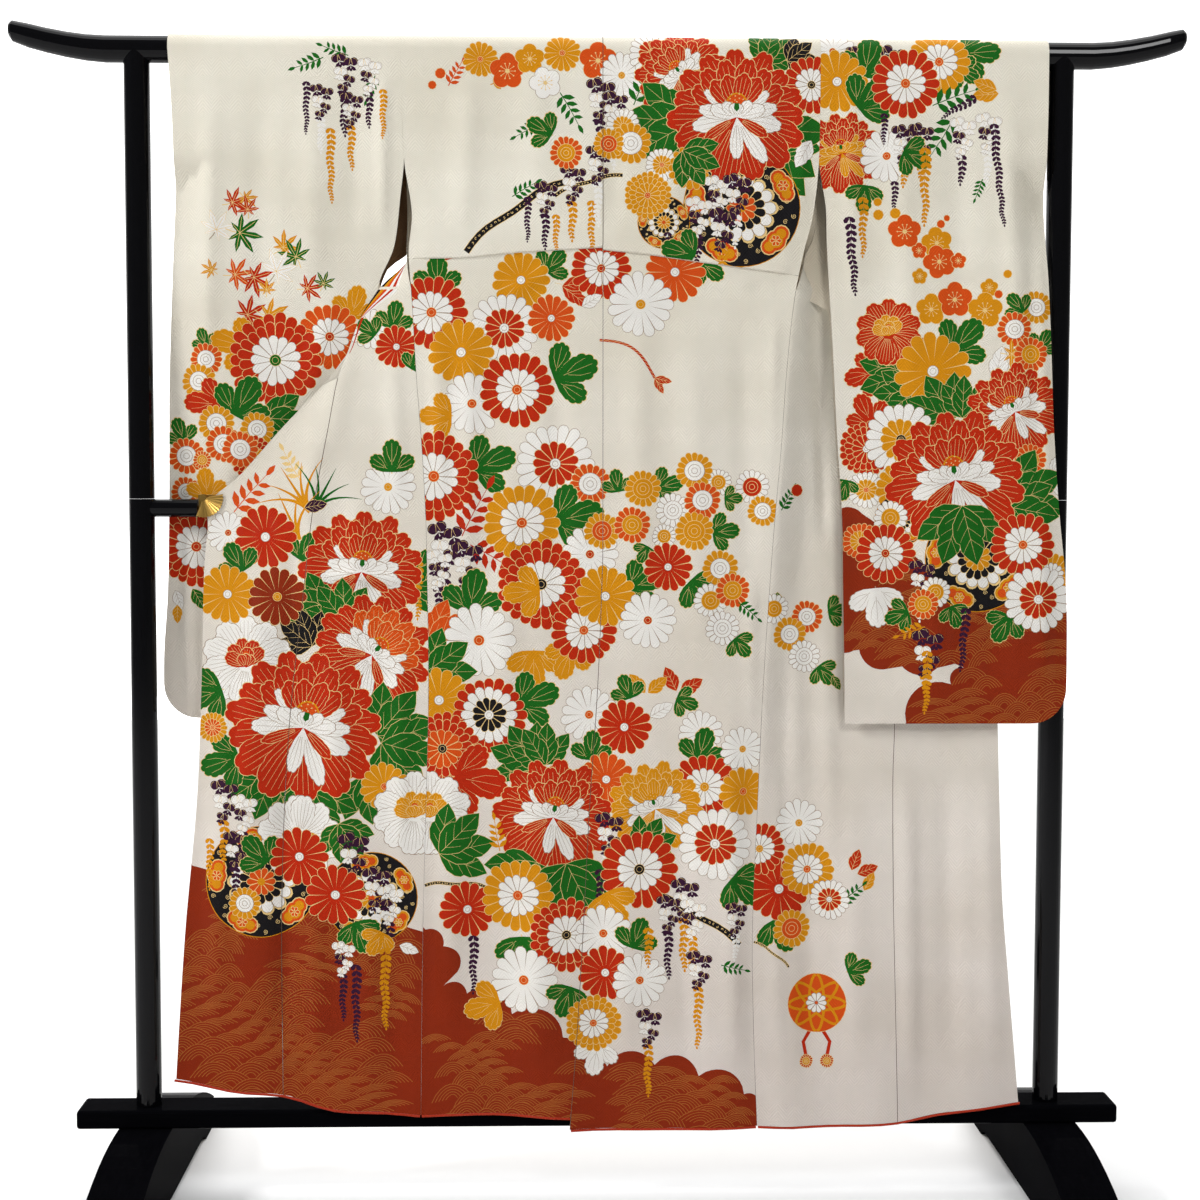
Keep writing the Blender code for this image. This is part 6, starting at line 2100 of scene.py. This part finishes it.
def cut_at_waist(shapes, upper):
    """The upper cloth's print ends at the waist seam, and so does the lower cloth's."""
    result = []
    for s in shapes:
        xs = np.array([p[0] for p in s.points])
        zs = np.array([p[1] for p in s.points])
        line = waist(xs) + (SEAM_SHADE_HALF if upper else -SEAM_SHADE_HALF)
        beyond = zs < line if upper else zs > line
        if beyond.all():
            continue
        if beyond.any():
            zs = np.where(beyond, line, zs)
            result.append(Shape(traced(xs, zs), s.colour))
        else:
            result.append(s)
    return result


def back_shapes():
    """The print of the back: banks, motifs below and above the waist seam, and the painted shades along
    the seams.
    """
    upper = [row for row in BACK_PRINT if row[2] > float(waist(row[1]))]
    lower = [row for row in BACK_PRINT if row[2] <= float(waist(row[1]))]
    shapes = sea(bank(*LOW_BANK)) + sea(bank(*RIGHT_BANK), 2.0)
    shapes += cut_at_waist(motif_shapes(lower), False) + cut_at_waist(motif_shapes(upper), True)
    across = np.linspace(*WAIST_ENDS, WAIST_POINTS)
    # a painted shade under the tucked cloth, along the waist seam
    shapes.append(ribbon(traced(across, waist(across) - SEAM_SHADE_HALF), SEAM_SHADE_HALF / 2, "seam"))
    return shapes + [seam_shade(BACK_CENTRE, SHADE_LOW[1], ARC_TOP)]


def bundle_tail():
    """The stripes of the folded bundle run on over the opened left front, and close on its edge."""
    heights = np.linspace(FRONT_TOP, TAIL_LOW, 8)
    spread = (heights - TAIL_LOW) / (FRONT_TOP - TAIL_LOW)
    edge = FRONTS[-1][0](heights)
    stripe = STRIPE_COLUMNS * abs(back_edge(-1, FRONT_TOP) - edge[0]) / TURN_COLUMNS
    shapes = []
    for number, colour in BUNDLE.items():
        middle = edge + (number + 0.5) * (spread * stripe + (1 - spread) * TAIL_STRIPE)
        shapes.append(ribbon(traced(middle, heights), stripe / 2, colour, TAIL_STRIPE / 2))
    return shapes


def seam_shade(x_of, low, high):
    """A thin painted shade along a seam."""
    heights = down(low, high, SHADE_STEP)
    return ribbon(traced(x_of(np.minimum(heights, BAR_HEIGHT)), heights), SEAM_SHADE_HALF, "seam")


def front_shades(side):
    """The painted shades along the okumi seam and the side seam of an opened front."""
    return [seam_shade(FRONTS[side][1], SHADE_LOW[side], OKUMI_TOP),
            seam_shade(lambda z: back_edge(side, z), SHADE_LOW[side], FRONT_TOP)]


def red_edge():
    """A red line along the edge of the opened left front."""
    heights = np.linspace(*RED_EDGE, 12)
    edge = FRONTS[-1][0](heights) + RED_EDGE_INSET
    return ribbon(traced(edge, heights), RED_EDGE_HALF, "red", RED_EDGE_TIP)


def dress():
    """Makes the six pieces of silk, hangs each on the root, and hides the solid it stands for."""
    back = back_shapes()
    left = sea(bank(*LEFT_BANK), 3.0) + motif_shapes(LEFT_PRINT)
    left += front_shades(-1)
    left += [red_edge()] + bundle_tail()
    right = motif_shapes(RIGHT_PRINT) + front_shades(1)
    sleeves = {-1: motif_shapes(LEFT_SLEEVE_PRINT),
               1: sea(bank(*SLEEVE_BANK), 4.0) + motif_shapes(RIGHT_SLEEVE_PRINT)}
    rears = {-1: [], 1: [Shape(bank(*SLEEVE_BANK), "deep_red")]}
    for side, front in ((-1, left), (1, right)):
        name = SIDES[side]
        body = make_body(side, back, front)
        okumi = make_okumi(side, front)
        sleeve = make_sleeve(side, sleeves[side], rears[side])
        for piece, solid in ((body, "body_"), (okumi, "okumi_"), (sleeve, "sleeve_")):
            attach(piece, "root")
            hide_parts(solid + name)


# Stand

FINISHES = {
    "top": BRIGHT_LACQUER, "post": BRIGHT_LACQUER, "arm": BRIGHT_LACQUER,
    "crossbar": DULL_LACQUER, "foot": DULL_LACQUER,
    "fan": BRASS, "clip": BRASS,
    "hem": SILKS["piping"], "collar": SILKS["ivory"],
}


def smoothed(mesh):
    """Rounds the shading of the gently turning faces, and keeps the corners sharp."""
    mesh.shade_smooth()
    mesh.set_sharp_from_angle(angle=math.radians(SHARP))


def dress_stand():
    """Gives the solids of the stand, the hem and the collar their finishes."""
    for name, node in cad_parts.items():
        finish = FINISHES.get(name.split("_")[0])
        if finish is None:
            continue
        for slot in node.material_slots:
            slot.material = finish
        smoothed(node.data)


# Room

def area_light(name, place, target, size, size_y, power):
    """A soft lamp that faces its target."""
    light = bpy.data.lights.new(name, "AREA")
    light.shape = "RECTANGLE"
    light.size = size
    light.size_y = size_y
    light.energy = power
    obj = in_scene(name, light)
    obj.location = place
    obj.rotation_euler = (Vector(target) - Vector(place)).to_track_quat("-Z", "Y").to_euler()


def stage_wall(name, corners, material):
    """A flat rectangle of the room."""
    mesh = bpy.data.meshes.new(name)
    mesh.from_pydata(corners, [], [(0, 1, 2, 3)])
    mesh.materials.append(material)
    in_scene(name, mesh)


def make_room():
    """A pale floor, and a white wall of light far behind the stand."""
    half, far, low = ROOM_HALF, BACKDROP_DISTANCE, -BACKDROP_FOOT
    stage_wall("floor", [(-half, -half, 0), (half, -half, 0), (half, half, 0), (-half, half, 0)],
               noisy_material("pale_floor", FLOOR_GRAIN, FLOOR_FINISH))
    wall, _, shader = tree_of("white_backdrop")
    finished(shader, BACKDROP_FINISH)
    stage_wall("backdrop", [(-half, far, low), (half, far, low), (half, far, half),
                            (-half, far, half)], wall)
    world = bpy.data.worlds.new("studio")
    world.use_nodes = True
    background = world.node_tree.nodes["Background"]
    background.inputs["Color"].default_value = (1.0, 1.0, 1.0, 1.0)
    background.inputs["Strength"].default_value = ROOM_LIGHT
    bpy.context.scene.world = world
    for lamp in LAMPS:
        area_light(*lamp)
    bpy.context.scene.view_settings.view_transform = "Standard"


def make_camera():
    """The photograph's camera."""
    camera = bpy.data.cameras.new("camera")
    camera.sensor_width = SENSOR
    camera.lens = FOCAL_PIXELS / PICTURE_PIXELS * SENSOR
    obj = in_scene("camera", camera)
    tilt, yaw = CAMERA_TILT, CAMERA_YAW
    ahead = Vector((-math.sin(yaw) * math.cos(tilt), math.cos(yaw) * math.cos(tilt),
                    -math.sin(tilt)))
    level = Vector((math.cos(yaw), math.sin(yaw), 0))
    upright = level.cross(ahead)
    right = math.cos(CAMERA_ROLL) * level + math.sin(CAMERA_ROLL) * upright
    up = -math.sin(CAMERA_ROLL) * level + math.cos(CAMERA_ROLL) * upright
    turn = Matrix((right, up, -ahead)).transposed()
    obj.matrix_world = Matrix.Translation(Vector(CAMERA_PLACE)) @ turn.to_4x4()
    bpy.context.scene.camera = obj


make_camera()
make_room()
dress_stand()
dress()
